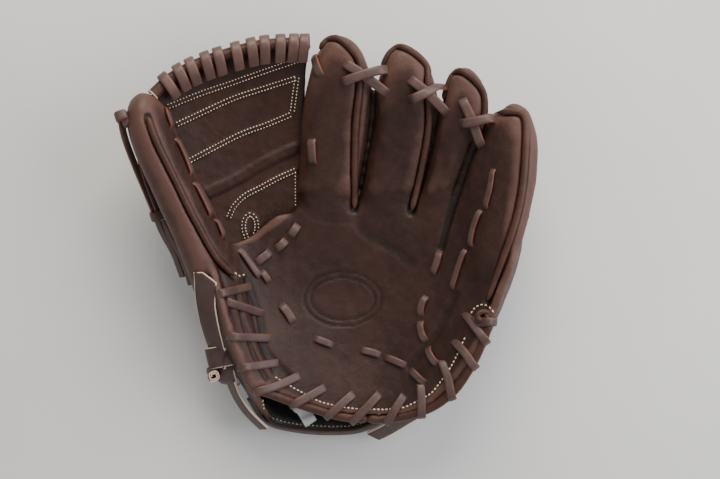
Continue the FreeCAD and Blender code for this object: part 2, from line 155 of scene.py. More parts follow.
def vertexNormals(obj):
    flat = np.zeros(len(obj.data.vertices) * 3, np.float32)
    obj.data.vertex_normals.foreach_get("vector", flat)
    return flat.reshape(-1, 3).astype(float)


def relaxed(points, edges, times):  # each point moved to the mean of its neighbours, many times
    count = len(points)
    ends = np.concatenate([edges[:, 0], edges[:, 1]])
    others = np.concatenate([edges[:, 1], edges[:, 0]])
    share = np.maximum(np.bincount(ends, minlength=count), 1)
    for _ in range(times):
        points = np.stack([np.bincount(ends, points[others, axis], count) / share for axis in range(3)], 1)
    return points


def meshEdges(obj):
    flat = np.zeros(len(obj.data.edges) * 2, np.int32)
    obj.data.edges.foreach_get("vertices", flat)
    return flat.reshape(-1, 2)


def setAttribute(obj, name, values):
    layer = obj.data.attributes.get(name) or obj.data.attributes.new(name, "FLOAT", "POINT")
    layer.data.foreach_set("value", np.asarray(values, np.float32))


# the glove's thumb side and little finger side, each given with its bodies and a fold line; only whether a
# piece has one is read, and no piece bends
thumbFold = {"bodies": ("palm", "thumb"), "start": (-37.5, -58.5, 50), "end": (-59.5, -63.8, 50)}
littleFold = {"bodies": ("palm", "little_side"), "start": (58.5, -60.3, 50), "end": (84.4, -62.8, 50)}


def foldWith(piece):
    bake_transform(piece)
    return piece

# materials


def srgb(text):  # a hex colour as linear numbers
    values = [int(text[place:place + 2], 16) / 255 for place in (0, 2, 4)]
    return tuple(v / 12.92 if v <= 0.04045 else ((v + 0.055) / 1.055) ** 2.4 for v in values) + (1.0,)


def addNode(material, kind, inputs=(), out=None, **settings):  # an input is a value or another node's socket
    node = material.node_tree.nodes.new("ShaderNode" + kind)
    for key, value in settings.items():
        setattr(node, key, value)
    for key, value in inputs.items() if isinstance(inputs, dict) else enumerate(inputs):
        if isinstance(value, bpy.types.NodeSocket):
            material.node_tree.links.new(value, node.inputs[key])
        else:
            node.inputs[key].default_value = value
    return node if out is None else node.outputs[out]


def newMaterial(name, base, lumps, stains, bumps, rough, patterns=None, **surface):
    # lumps: millimetres, detail, roughness, distortion. patterns: kind, output, inputs by number, settings.
    # stains: pattern, from, to, least, most, colour. bumps: pattern, strength, metres. Later ones lie on top.
    material = bpy.data.materials.new(name)
    material.use_nodes = True
    material.node_tree.nodes.clear()
    made = {"place": addNode(material, "TexCoord", out="Object")}
    for label, (size, detail, coarse, twist) in lumps.items():
        made[label] = addNode(material, "TexNoise", {
            "Vector": made["place"], "Scale": 1000 / size, "Detail": detail, "Roughness": coarse,
            "Distortion": twist}, out="Fac")
    for label, (kind, out, inputs, settings) in (patterns or {}).items():
        inputs = {key: made[value] if value in made else value for key, value in inputs.items()}
        made[label] = addNode(material, kind, inputs, out, **settings)
    tone = srgb(base)
    for label, low, high, least, most, colour in stains:
        share = addNode(material, "MapRange", [made[label], low, high, least, most], out="Result")
        tone = addNode(material, "Mix", {0: share, 6: tone, 7: srgb(colour)}, out=2, data_type="RGBA")
    normal = {}
    for label, strength, reach in bumps:
        normal = {"Normal": addNode(material, "Bump", {
            "Height": made[label], "Strength": strength, "Distance": reach, **normal}, out="Normal")}
    if isinstance(rough, tuple):  # pattern, smoothest, roughest
        rough = addNode(material, "MapRange", [made[rough[0]], 0.3, 0.7, *rough[1:]], out="Result")
    shader = addNode(material, "BsdfPrincipled", {
        "Base Color": tone, "Roughness": rough, **normal, **surface}, out="BSDF")
    addNode(material, "OutputMaterial", {"Surface": shader})
    return material


def leather(name, deep, middle, warm, gloss, grain=1.1, crease=9.0, crest=0.6):
    # oiled full grain steerhide, drum dyed: uneven brown; lighter on crests, partly real pull-up from rubbing
    # and partly painted highlight; darker in folds, which is painted shade
    return newMaterial(
        name, deep, rough=("mottle", gloss - 0.06, gloss + 0.10),
        lumps={
            "cloud": (42, 4, 0.55, 0), "mottle": (7, 5, 0.65, 0), "creases": (crease, 6, 0.6, 0.8),
            "fine": (1.6, 4, 0.55, 0),
        },
        patterns={
            "wearHighlightAndShade": ("Attribute", "Fac", {}, {"attribute_name": "wearHighlightAndShade"}),
            "cells": ("TexVoronoi", "Distance", {"Vector": "place", "Scale": 1000 / grain},
                      {"feature": "DISTANCE_TO_EDGE"}),
            "pebbles": ("MapRange", "Result", {0: "cells", 1: 0.0, 2: 0.18}, {}),
        },
        stains=[
            ("cloud", 0.35, 0.65, 0, 1, middle), ("mottle", 0.42, 0.75, 0, 0.09, warm),
            # crests turn the warm colour (real pull-up plus painted highlight); folds turn 120a07, a painted
            # shade
            ("wearHighlightAndShade", 0.74, 1.0, 0, crest, warm), ("wearHighlightAndShade", 0.12, 0.45, 0.75, 0, "120a07"),
        ],
        bumps=[("creases", 0.30, 0.0016), ("pebbles", 0.16, 0.0002), ("fine", 0.25, 0.0003)],
        **{"IOR": 1.47, "Specular IOR Level": 0.32})


def laceLeather(name, face, edge, gloss=0.42, shade="38261f", rub="62504a"):
    # rawhide lace, cut in strips: a waxed grey brown face, and cut sides that show the redder middle
    return newMaterial(
        name, face, rough=("streak", gloss - 0.06, gloss + 0.14), IOR=1.48,
        lumps={"streak": (3, 5, 0.7, 0), "cloud": (14, 3, 0.55, 0), "fibres": (0.9, 4, 0.7, 0)},
        patterns={"side": ("Attribute", "Fac", {}, {"attribute_name": "edge"})},
        stains=[
            ("cloud", 0.35, 0.7, 0, 0.6, shade), ("streak", 0.5, 0.8, 0, 0.4, rub),
            ("side", 0.45, 0.8, 0, 1, edge),
        ],
        bumps=[("fibres", 0.3, 0.0003)])


shellLeather = leather("oiledSteerhideShell", "2b1812", "38221b", "684a40", 0.46, crest=0.62)
webLeather = leather("oiledSteerhideWeb", "2b150c", "371d12", "553523", 0.52)
weltLeather = leather("softCalfPiping", "3c261d", "4d3127", "7b5546", 0.42, grain=0.9, crease=5.0, crest=1.0)
strapLeather = leather("firmSteerhideStrap", "2b1913", "3b251e", "5c3b2e", 0.46, crease=6.0, crest=1.0)
rawhideLace = laceLeather("waxedRawhideLace", "56403a", "743a2b")
wrapLace = laceLeather("waxedRawhideWrap", "654b42", "7c3e2c", shade="46302a")  # paler where it is stretched
strapCut = laceLeather("steerhideStrapPaleEdge", "46302a", "dcc2b0", gloss=0.46, shade="331e15", rub="5f4334")
creamThread = newMaterial(  # bonded nylon: a soft sheen, with the ply's turns as fine dark lines
    "creamBondedThread", "f0dfbe", rough=0.62,
    lumps={"soil": (6, 3, 0.55, 0)},
    patterns={"ply": ("TexWave", "Fac", {"Vector": "place", "Scale": 200.0, "Distortion": 1.5, "Detail": 1.0},
                      {"bands_direction": "DIAGONAL"})},
    stains=[("ply", 0.0, 0.5, 0.45, 0, "b39a78"), ("soil", 0.45, 0.8, 0, 0.35, "b39a78")],
    bumps=[("ply", 0.4, 0.0002)], **{"Sheen Weight": 0.25})
# polyester: short raised pile that drinks light, with a faint sheen where it lies over
blackFleece = newMaterial(
    "blackFleeceLining", "060607", rough=0.95,
    lumps={"tufts": (1.2, 6, 0.75, 0), "lay": (12, 3, 0.55, 0)},
    stains=[("tufts", 0.4, 0.75, 0, 1, "1b1b20"), ("lay", 0.4, 0.7, 0, 0.4, "060607")],
    bumps=[("tufts", 0.8, 0.0008)], **{"Sheen Weight": 0.5, "Sheen Roughness": 0.5})
labelCloth = newMaterial(  # woven satin: fine warp and weft, half a millimetre apart, drawn a little coarse
    "whiteWovenLabel", "f2f2ef", rough=0.6, lumps={},
    patterns={
        "warp": ("TexWave", "Fac", {"Vector": "place", "Scale": 250.0, "Distortion": 0.4},
                 {"bands_direction": "X"}),
        "weft": ("TexWave", "Fac", {"Vector": "place", "Scale": 250.0, "Distortion": 0.4},
                 {"bands_direction": "Y"}),
        "cross": ("Math", "Value", {0: "warp", 1: "weft"}, {"operation": "MULTIPLY"}),
    },
    stains=[("cross", 0.0, 0.6, 0.5, 0, "c2c2c1")], bumps=[("cross", 0.3, 0.0002)], **{"Sheen Weight": 0.2})
paleEdge = newMaterial(  # cut hide, undyed: pale matt fibres, rubbed a little brown
    "paleCutHideEdge", "d3b8a8", rough=0.85,
    lumps={"fibres": (1.4, 6, 0.75, 0), "rub": (9, 3, 0.55, 0)},
    stains=[("fibres", 0.35, 0.75, 0, 0.7, "9a7466"), ("rub", 0.5, 0.8, 0, 0.5, "9a7466")],
    bumps=[("fibres", 0.5, 0.0004)], **{"Sheen Weight": 0.15})
seamlessPaper = newMaterial(  # the studio floor: matt, with a faint uneven tooth
    "mattSeamlessPaper", "dfdedb", rough=0.9,
    lumps={"tooth": (2, 4, 0.55, 0), "cloud": (220, 3, 0.55, 0)},
    stains=[("cloud", 0.3, 0.7, 0, 1, "e6e5e2")], bumps=[("tooth", 0.1, 0.0003)])
print("materials", len(bpy.data.materials))

# the leather body: palm, back, walls and finger stalls grown into one skin, then parted at the fold

stallShapes = {  # x, y, z, half width, half depth, roll in degrees
    "index": [
        (0, -14, 19, 18, 10, 0), (0, 10, 21, 22, 16, 0), (-1, 33, 26, 23.5, 19.5, 0), (3, 62, 32, 25, 19, 0),
        (6.5, 92, 41, 26.5, 17, 0), (9.5, 118, 50, 25, 15.5, 0), (10, 138, 56, 20, 13, 0),
        (10, 151, 60, 12, 9, 0), (10, 156.5, 61, 3, 3, 0),
    ],
    "middle": [
        (40, -20, 19, 17, 10, 0), (42, 4, 21, 21, 16, 0), (47, 28, 26, 22, 19.5, 0), (54, 57, 32, 24, 19, 0),
        (60.5, 90, 41, 25, 17, 0), (61, 112, 50, 24, 15.5, 0), (59.5, 130, 56, 19, 13, 0),
        (57.5, 143, 60, 11, 9, 0), (56.5, 148.5, 61, 3, 3, 0),
    ],
    "ring": [
        (66, -26, 22, 14, 8, 0), (74, -6, 27, 16, 14, 4), (81, 12, 32, 15.5, 17, 8),
        (89.5, 38, 37, 15.5, 17.5, 12),
        (96.5, 64, 43, 16, 16.5, 14), (104, 92, 53, 18.5, 15, 12), (106, 112, 60, 15.5, 12, 10),
        (104, 126, 64, 9.5, 8, 10), (102.5, 131.5, 65, 2.5, 2.5, 10),
    ],
    "little": [
        (102, -46, 48, 20, 6, 36), (112, -20, 56, 29, 9, 40), (121, 8, 59, 33, 14, 39),
        (128, 36, 60, 32.5, 16, 38),
        (133.5, 60, 63, 30, 16, 36), (139, 82, 68, 23, 14, 33), (142, 95, 72, 14, 10, 30),
        (142, 101, 74, 7, 6, 30), (142, 103.5, 75, 2, 2, 30),
    ],
    "thumb": [
        (-84, -36, 48, 20, 13, -45), (-90, -14, 54, 22, 14, -50), (-100, 10, 60, 22, 14, -54),
        (-110, 32, 66, 21.5, 14, -56), (-121, 56, 73, 20.5, 13.5, -57), (-130, 79, 79, 20, 13.5, -55),
        (-135.5, 97, 83, 16, 11.5, -52), (-137.5, 107, 85, 9, 8, -50), (-138, 111, 86, 2, 2, -50),
    ],
}

palmRows = [  # across the glove, from the thumb's crest to the little finger's, heel row first
    [(-59, -112, 62), (-46, -113, 57), (-28, -121, 52), (10, -132, 50), (50, -134, 52), (76, -127, 57),
     (93, -113, 62)],
    [(-73, -75, 71), (-58, -77, 59), (-41, -80, 46), (6, -83, 39), (54, -84, 44), (86, -84, 59),
     (114, -82, 78)],
    [(-82, -42, 75), (-68, -43, 58), (-49, -45, 41), (2, -46, 34), (57, -48, 42), (96, -50, 60),
     (129, -50, 86)],
    [(-89, -20, 73), (-74, -17, 55), (-57, -13, 40), (-4, -9, 34.5), (58, -14, 41), (104, -20, 61),
     (140, -20, 86)],
    [(-92, -8, 70), (-77, -3, 52), (-61, 3, 41), (-25, 26, 41), (38, 22, 40), (92, 18, 51), (146, -4, 80)],
]
thumbWall = [  # from crest to foot, heel first
    [(-47, -141, 25), (-51, -142, 19), (-50, -141, 12), (-44, -138, 6)],
    [(-53, -127, 44), (-58, -127, 32), (-56, -126, 18), (-48, -124, 7)],
    [(-59, -112, 60), (-66, -112, 44), (-62, -110, 24), (-52, -108, 8)],
    [(-73, -78, 69), (-84, -80, 52), (-82, -80, 28), (-58, -80, 5)],
    [(-82, -44, 73), (-97, -45, 55), (-95, -46, 30), (-58, -46, 3)],
    [(-90, -14, 70), (-103, -16, 54), (-100, -18, 32), (-58, -20, 3)],
    [(-98, 6, 70), (-109, 4, 58), (-106, 2, 44), (-78, -2, 22)],
    [(-104, 22, 69), (-114, 21, 61), (-112, 20, 52), (-98, 16, 44)],
]
littleWall = [
    [(94, -115, 60), (98, -116, 44), (92, -114, 24), (74, -110, 8)],
    [(113, -84, 76), (118, -85, 54), (110, -84, 28), (80, -82, 5)],
    [(128, -52, 84), (133, -52, 60), (124, -52, 30), (84, -50, 3)],
    [(140, -20, 84), (145, -20, 60), (134, -20, 30), (86, -20, 3)],
    [(146, 0, 77), (149, 0, 59), (138, 0, 34), (92, 2, 8)],
    [(148, 20, 74), (149, 20, 61), (141, 19, 45), (108, 20, 30)],
    [(147, 38, 72), (147, 38, 64), (142, 37, 55), (122, 36, 47)],
]
backRows = [
    [(-50, -108, 6), (-10, -112, 3), (40, -112, 3), (78, -108, 6)],
    [(-60, -70, 4), (-12, -70, 2.6), (42, -70, 2.6), (84, -70, 4)],
    [(-62, -20, 4), (-12, -20, 2.6), (46, -20, 2.6), (88, -20, 4)],
    [(-30, 26, 9), (0, 34, 6), (48, 30, 6), (84, 16, 12)],
]
shell = {
    "palmThick": 13.0, "wallThick": 7.0, "backAbove": 4.0, "backThick": 6.4, "plump": 0.82,
    "voxel": 0.0017, "relax": 9, "rootRelax": 70, "wrinkle": 0.35, "crestRelax": 40, "crestReach": 0.0016,
    "fill": 0.7,
}


def rowPoint(rows, u, v):
    columns = [through([row[index] for row in rows], v) for index in range(len(rows[0]))]
    return Vector(through(columns, u))


def thereAndBack(u):  # along the upper face, then back along the lower
    return 2 * u if u <= 0.5 else 2 - 2 * u


def lowerBy(u, v, thick):  # the lower face meets the upper one all round, which closes the form
    return thick if 0.5 < u < 0.9999 and 0.0001 < v < 0.9999 else 0


def stallPlace(stations):
    def place(u, v):
        x, y, z, wide, deep, roll = through(stations, v)
        before, after = through(stations, v - 0.02), through(stations, v + 0.02)
        course = Vector([b - a for a, b in zip(before[:3], after[:3])]).normalized()
        across = course.cross(Vector((0, 0, 1))).normalized()
        out = across.cross(course)
        turn = math.radians(roll)
        right = across * math.cos(turn) + out * math.sin(turn)
        front = out * math.cos(turn) - across * math.sin(turn)
        c, s = math.cos(2 * math.pi * u), math.sin(2 * math.pi * u)
        plump = shell["plump"]
        return (Vector((x, y, z)) + right * wide * math.copysign(abs(c) ** plump, c)
                + front * deep * math.copysign(abs(s) ** plump, s))
    return place


def palmPlace(u, v):
    return rowPoint(palmRows, thereAndBack(u), v) - Vector((0, 0, lowerBy(u, v, shell["palmThick"])))


def wallPlace(rows):
    def place(u, v):
        point = rowPoint(rows, thereAndBack(u), v)
        point.x += lowerBy(u, v, shell["wallThick"]) * (1 if point.x < 0 else -1)
        return point
    return place


def backPlace(u, v):
    return rowPoint(backRows, thereAndBack(u), v) + Vector((0, 0,
                                                            shell["backAbove"] - lowerBy(u, v,
                                                                                         shell["backThick"])))


forms = [formGrid("palmForm", 80, 60, palmPlace, wrap=True), formGrid("backForm", 40, 40, backPlace,
                                                                      wrap=True)]
forms += [formGrid("wallForm", 48, 40, wallPlace(rows), wrap=True) for rows in (thumbWall, littleWall)]
forms += [formGrid(name + "Form", 40, 60, stallPlace(rows), wrap=True) for name, rows in stallShapes.items()]
skin = joined("skin", forms)
applyModifier(skin, "REMESH", mode="VOXEL", voxel_size=shell["voxel"], use_smooth_shade=True)
applyModifier(skin, "SMOOTH", factor=0.5, iterations=shell["relax"])


def rootShare(x, y):  # where the stalls run into the palm
    return (smoothStep(-40, -18, y) * (1 - smoothStep(26, 46, y))
            * smoothStep(-40, -28, x) * (1 - smoothStep(126, 140, x)))


skinPoints = coordinates(skin)
share = np.array([rootShare(x * 1000, y * 1000) for x, y, _ in skinPoints])[:, None]
share[skinPoints[:, 2] < 0.02] = 0
setCoordinates(skin, skinPoints * (1 - share) + relaxed(skinPoints, meshEdges(skin),
                                                        shell["rootRelax"]) * share)
print("skin", len(skin.data.vertices))


class Ground:  # what lies under a point seen from above
    def __init__(self, obj):
        self.tree = BVHTree.FromPolygons(
            [vertex.co.copy() for vertex in obj.data.vertices],
            [tuple(p.vertices) for p in obj.data.polygons])

    def drop(self, x, y):
        hit, normal, _, _ = self.tree.ray_cast(Vector((x, y, 200)) / 1000, Vector((0, 0, -1)))
        if hit is None:
            hit, normal, _, _ = self.tree.find_nearest(Vector((x, y, 60)) / 1000)
        return hit * 1000, normal


def evenly(points, gap, closed=False):  # a route through the given points, one every gap millimetres
    if closed:
        points = points + [points[0]]
    fine = [Vector(through(points, k / (24 * (len(points) - 1)))) for k in range(24 * (len(points) - 1) + 1)]
    out, left = [fine[0]], gap
    for a, b in zip(fine, fine[1:]):
        step = (b - a).length
        done = 0.0
        while step - done >= left:
            done += left
            out.append(a.lerp(b, done / step))
            left = gap
        left -= step - done
    return out


def evenlyFlat(route, gap, closed=False):  # the same for a route of x, y points
    return evenly([(x, y, 0) for x, y in route], gap, closed)


ground = Ground(skin)
weltRoutes = {  # the piping lines as seen from above
    "thumb": [(-132, 92), (-126, 74), (-113, 46), (-101, 20), (-84, -12), (-71, -27)],
    "index": [(-9, 149), (8, 154), (24, 138), (25, 117), (22, 88), (21, 52), (21, 24)],
    "middle": [(39, 133), (54, 148), (75, 135), (77, 117), (78, 88), (72, 52), (65, 22)],
    "ring": [(88, 108), (99, 129), (117, 116), (120, 98), (116, 82)],
    "little": [(130, 97), (148, 94), (149, 64), (145, 28), (135, -7), (127, -30), (121, -46)],
}
channel = {"deep": 2.6, "wide": 3.1}


def nearTree(samples):
    tree = KDTree(len(samples))
    for index, (point, *_) in enumerate(samples):
        tree.insert(point, index)
    tree.balance()
    return tree


def pressed(points, normals, samples):  # samples are (point on the skin, depth, half width), in millimetres
    tree = nearTree([(point / 1000,) for point, _, _ in samples])
    widest = max(wide for _, _, wide in samples) * 2.2 / 1000
    moved = points.copy()
    for index, point in enumerate(points):
        found = tree.find_range(Vector(point), widest)
        if not found:
            continue
        dip = max(samples[k][1] * math.exp(-(distance * 1000 / samples[k][2]) ** 4) for _, k,
                  distance in found)
        moved[index] = point - normals[index] * dip / 1000
    return moved


def onSkin(route, gap=1.0, closed=False):
    return [ground.drop(point.x, point.y) for point in evenlyFlat(route, gap, closed)]


weltLines = {name: onSkin(route) for name, route in weltRoutes.items()}
grooves = [(point, channel["deep"], channel["wide"]) for line in weltLines.values() for point, _ in line]

emblem = {"x": 12, "y": -45, "rings": [(30, 21), (25, 16.5)], "deep": 0.9, "wide": 1.0}  # plain pressed ovals
for across, along in emblem["rings"]:
    oval = [
        (emblem["x"] + across * math.cos(a * math.pi / 12), emblem["y"] + along * math.sin(a * math.pi / 12))
        for a in range(24)
    ]
    grooves += [(point, emblem["deep"], emblem["wide"]) for point, _ in onSkin(oval, closed=True)]

creaseLines = [  # folds that the pocket has taken: x, y route, depth, half width
    ([(-30, -104), (-46, -86), (-52, -60), (-62, -30)], 1.2, 3.5),
    ([(112, 72), (103, 46), (95, 23), (87, -6)], 2.0, 3.2),
    ([(20, 22), (30, 6), (52, -6), (66, -18)], 0.8, 4.5),
    ([(-20, 28), (-6, 18), (16, 16)], 0.7, 4.0),
    ([(64, -96), (84, -70), (98, -40)], 0.9, 4.0),
    ([(-86, -8), (-78, -32), (-72, -52)], 1.0, 2.6),
    ([(-69, -36), (-64, -60), (-56, -85), (-46, -106)], 1.8, 1.9),
    ([(-62, -32), (-57, -58), (-50, -82), (-40, -101)], 1.2, 1.9),
]
for route, deep, wide in creaseLines:
    grooves += [(point, deep, wide) for point, _ in onSkin(route)]

skinPoints, skinNormals = coordinates(skin), vertexNormals(skin)
wrinkles = np.array([
    noise.noise(Vector(p) * 55) + 0.5 * noise.noise(Vector(p) * 130) + 0.25 * noise.noise(Vector(p) * 320)
    for p in skinPoints
])
skinPoints = skinPoints + skinNormals * (wrinkles * shell["wrinkle"] / 1000)[:, None]
skinPoints = pressed(skinPoints, skinNormals, grooves)
setCoordinates(skin, skinPoints)


def wearHighlightAndShadeOf(obj, times, reach):  # 0.5 on flat leather, towards 1 on crests (real pull-up with painted highlight) and towards 0 in folds (painted shade)
    points, normals, edges = coordinates(obj), vertexNormals(obj), meshEdges(obj)
    proud = ((points - relaxed(points, edges, times)) * normals).sum(1)
    return np.clip(0.5 + 0.5 * proud / reach, 0, 1)


# the shells' crests get a painted highlight mixed with real pull-up, and their folds get painted shade
setAttribute(skin, "wearHighlightAndShade", wearHighlightAndShadeOf(skin, shell["crestRelax"], shell["crestReach"]))

partingLine = [(50, -160), (50, -124), (62, 4), (71, 24), (80, 58), (84.5, 93), (84, 120), (82, 160)]


def partingX(y):
    for (xa, ya), (xb, yb) in zip(partingLine, partingLine[1:]):
        if y <= yb:
            return xa + (xb - xa) * (y - ya) / (yb - ya)
    return partingLine[-1][0]


def parted(name, keepRight):  # one side of the skin, shaded as if it were still whole
    side = skin.copy()
    side.data = skin.data.copy()
    side.name = name
    side.data.name = name
    bpy.context.scene.collection.objects.link(side)
    normals = vertexNormals(skin)
    for axis, label in enumerate("xyz"):
        setAttribute(side, "keep" + label, normals[:, axis])
    pick(side)
    side.data.polygons.foreach_set("select", [False] * len(side.data.polygons))
    for polygon in side.data.polygons:
        centre = polygon.center * 1000
        polygon.select = (centre.x > partingX(centre.y)) != keepRight
    bpy.ops.object.mode_set(mode="EDIT")
    bpy.ops.mesh.select_mode(type="FACE")
    bpy.ops.mesh.delete(type="FACE")
    bpy.ops.object.mode_set(mode="OBJECT")
    kept = np.zeros((len(side.data.vertices), 3), np.float32)
    for axis, label in enumerate("xyz"):
        column = np.zeros(len(side.data.vertices), np.float32)
        side.data.attributes["keep" + label].data.foreach_get("value", column)
        kept[:, axis] = column
    for label in "xyz":
        side.data.attributes.remove(side.data.attributes["keep" + label])
    smoothFaces(side)
    side.data.normals_split_custom_set_from_vertices([tuple(map(float, row)) for row in kept])
    return side


ground = Ground(skin)
handShell = parted("handShell", False)
littleShell = parted("littleShell", True)
bpy.data.objects.remove(skin)
for side in (handShell, littleShell):
    side.data.materials.append(shellLeather)
foldWith(handShell)
foldWith(littleShell)
print("shells", len(handShell.data.polygons), len(littleShell.data.polygons))

# strips, cords and stitches that lie on the leather

stripSection = [  # across and up, in half widths and half thicknesses, and 1 where the cut side shows
    (-1.0, -0.55, 1), (-0.84, -1.0, 0), (0.84, -1.0, 0), (1.0, -0.55, 1), (1.0, 0.5, 1), (0.86, 1.0, 0.25),
    (0.45, 1.12, 0), (-0.45, 1.12, 0), (-0.86, 1.0, 0.25), (-1.0, 0.5, 1),
]
lace = {"wide": 6.4, "thick": 1.9, "lift": 0.5, "under": 3.4, "dive": 4.0, "gap": 1.6}
thread = {"pitch": 3.2, "share": 0.7, "thick": 0.62, "proud": 0.35, "twin": 3.0}


class Builder:  # gathers loose parts into one mesh, each point with its share of cut side
    def __init__(self, name):
        self.name, self.points, self.faces, self.edge = name, [], [], []

    def sweep(self, frames, section, closed=False):  # frames are (point, across, up)
        base, around = len(self.points), len(section)
        for point, across, up in frames:
            for x, z, edge in section:
                self.points.append(point + across * x + up * z)
                self.edge.append(edge)
        rings = len(frames)
        for ring in range(rings if closed else rings - 1):
            for k in range(around):
                a, b = base + ring * around + k, base + ring * around + (k + 1) % around
                c, d = ((ring + 1) % rings) * around + (k + 1) % around, ((ring + 1) % rings) * around + k
                self.faces.append((a, b, base + c, base + d))
        if not closed:
            self.faces.append(tuple(base + k for k in reversed(range(around))))
            self.faces.append(tuple(base + (rings - 1) * around + k for k in range(around)))

    def made(self, material, slot, fold=None, body=None):
        piece = meshFrom(self.name, self.points, self.faces)
        setAttribute(piece, "edge", self.edge)
        pick(piece)
        bpy.ops.object.mode_set(mode="EDIT")
        bpy.ops.mesh.select_all(action="SELECT")
        bpy.ops.mesh.normals_make_consistent(inside=False)
        bpy.ops.object.mode_set(mode="OBJECT")
        bpy.ops.object.shade_smooth_by_angle(angle=math.radians(50))
        # even value: no painted highlight and no painted fold shade on these pieces
        setAttribute(piece, "wearHighlightAndShade", [0.5] * len(piece.data.vertices))
        piece.data.materials.append(material)
        return foldWith(piece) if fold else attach(piece, body)


def softened(vectors, times=2):
    for _ in range(times):
        vectors = [
            (vectors[max(k - 1, 0)] + vectors[k] * 2 + vectors[min(k + 1, len(vectors) - 1)]).normalized()
            for k in range(len(vectors))
        ]
    return vectors


def stripFrames(points, ups, wide, thick, twist=0.0):
    frames = []
    for k, point in enumerate(points):
        course = (points[min(k + 1, len(points) - 1)] - points[max(k - 1, 0)]).normalized()
        across = course.cross(ups[k]).normalized()
        up = across.cross(course).normalized()
        turn = math.radians(twist) * k / max(len(points) - 1, 1)
        frames.append((
            point,
            (across * math.cos(turn) + up * math.sin(turn)) * wide / 2,
            (up * math.cos(turn) - across * math.sin(turn)) * thick / 2,
        ))
    return frames


def layStrip(builder, route, surface, bridge=False, bow=0.5, wide=None, lift=0.0, dives=(True, True)):
    # a flat lace over the leather that goes down through a hole at each end
    samples = evenlyFlat(route, lace["gap"])
    hits = [surface.drop(point.x, point.y) for point in samples]
    points, ups = [], []
    total = len(samples) - 1
    for k, (hit, normal) in enumerate(hits):
        share = k / total
        if bridge:  # held straight over the gap between two fingers
            level = hits[0][0].z * (1 - share) + hits[-1][0].z * share + bridge * math.sin(math.pi * share)
            height = max(level, hit.z if normal.z > 0.3 else level)
            normal = (hits[0][1] * (1 - share) + hits[-1][1] * share + Vector((0, 0, 1.2))).normalized()
            hit = Vector((samples[k].x, samples[k].y, height))
        along = k * lace["gap"]
        left = (total - k) * lace["gap"]
        sink = 0.0
        for near, dive in ((along, dives[0]), (left, dives[1])):
            if dive:
                sink = max(sink, 1 - smoothStep(0, lace["dive"], near))
        rise = lace["lift"] + lift + lace["thick"] / 2 + bow * math.sin(math.pi * share)
        points.append(hit + normal * (rise * (1 - sink) - lace["under"] * sink))
        ups.append(normal)
    points = eased(points)
    builder.sweep(stripFrames(points, softened(ups, 4), wide or lace["wide"], lace["thick"]), stripSection)


def roundSection(radius, sides=12, edge=0):
    return [
        (radius * math.cos(2 * math.pi * k / sides), radius * math.sin(2 * math.pi * k / sides), edge)
        for k in range(sides)
    ]


def tubeFrames(points):
    frames = []
    for k, point in enumerate(points):
        course = (points[min(k + 1, len(points) - 1)] - points[max(k - 1, 0)]).normalized()
        across = course.cross(Vector((0, 0, 1)))
        across = across.normalized() if across.length > 0.05 else Vector((1, 0, 0))
        frames.append((point, across, across.cross(course)))
    return frames


def layTube(builder, points, radius, sides=12, tips=True):  # a cord with domed ends
    frames = tubeFrames(points)
    if tips:
        shrink = [0.25, 0.7, 0.92]
        frames = [
            (p, a * f, u * f) for (p, a, u),
            f in zip(frames, shrink + [1.0] * (len(frames) - 6) + shrink[::-1])
        ]
    builder.sweep(frames, roundSection(radius, sides))


stitchRings = [(-1.0, 0.25, -1.3), (-0.7, 0.8, -0.35), (0.0, 1.0, 0.1), (0.7, 0.8, -0.35), (1.0, 0.25, -1.3)]


def sew(builder, route, surface, pitch=None, share=None, side=0.0):  # a row of lockstitches
    pitch = pitch or thread["pitch"]
    long = pitch * (share or thread["share"])
    samples = evenlyFlat(route, pitch)
    for k, point in enumerate(samples):
        ahead = samples[min(k + 1, len(samples) - 1)] - samples[max(k - 1, 0)]
        course = ahead.normalized()
        aside = Vector((-course.y, course.x, 0)) * side
        hit, normal = surface.drop(point.x + aside.x, point.y + aside.y)
        course = (course - normal * course.dot(normal)).normalized()
        across = course.cross(normal)
        frames = [
            (hit + course * along * long / 2 + normal * (thread["proud"] + drop * thread["thick"]),
             across * wide * thread["thick"], normal * wide * thread["thick"])
            for along, wide, drop in stitchRings
        ]
        builder.sweep(frames, roundSection(1.0, 6))

# the web: a stuffed two-panel closed web sewn in rows, with its top bound and whipped with lace

webRows = [  # across from the thumb to the index finger, lowest row first
    [(-80, -12, 42), (-58, -5, 33), (-42, 3, 31), (-31, 10, 30), (-18, 14, 30)],
    [(-94, 12, 45), (-70, 21, 39), (-54, 29, 36), (-40, 36, 35), (-18, 40, 32)],
    [(-107, 41, 54), (-82, 51, 47), (-62, 60, 43), (-42, 67, 41), (-18, 72, 37)],
    [(-119, 70, 65), (-94, 85, 57), (-70, 95, 53), (-46, 103, 50), (-17, 106, 47)],
    [(-127, 95, 73), (-103, 111, 67), (-75, 124, 63), (-48, 132, 61), (-15, 134, 58)],
    [(-132, 110, 80), (-109, 127, 76), (-78, 140.5, 73), (-48, 149, 70), (-13, 150, 67)],
]
webSeams = [
    [(-119, 102), (-96, 112), (-71, 121), (-46, 130), (-22, 138)],
    [(-113, 89), (-74, 108), (-48, 117), (-23, 125)],
    [(-23, 125), (-25, 112), (-27, 99)],
    [(-104, 62), (-69, 81), (-46, 90), (-27, 98)],
    [(-76, 19), (-72, 27), (-64, 35), (-51, 42), (-38, 49), (-25, 55)],
]
webLoop = [(-63, 3), (-65, 10), (-64, 17), (-60, 20.5), (-56, 17), (-55, 10), (-57, 4)]
webFold = [(-92, 37), (-70, 48), (-50, 60), (-25, 72)]
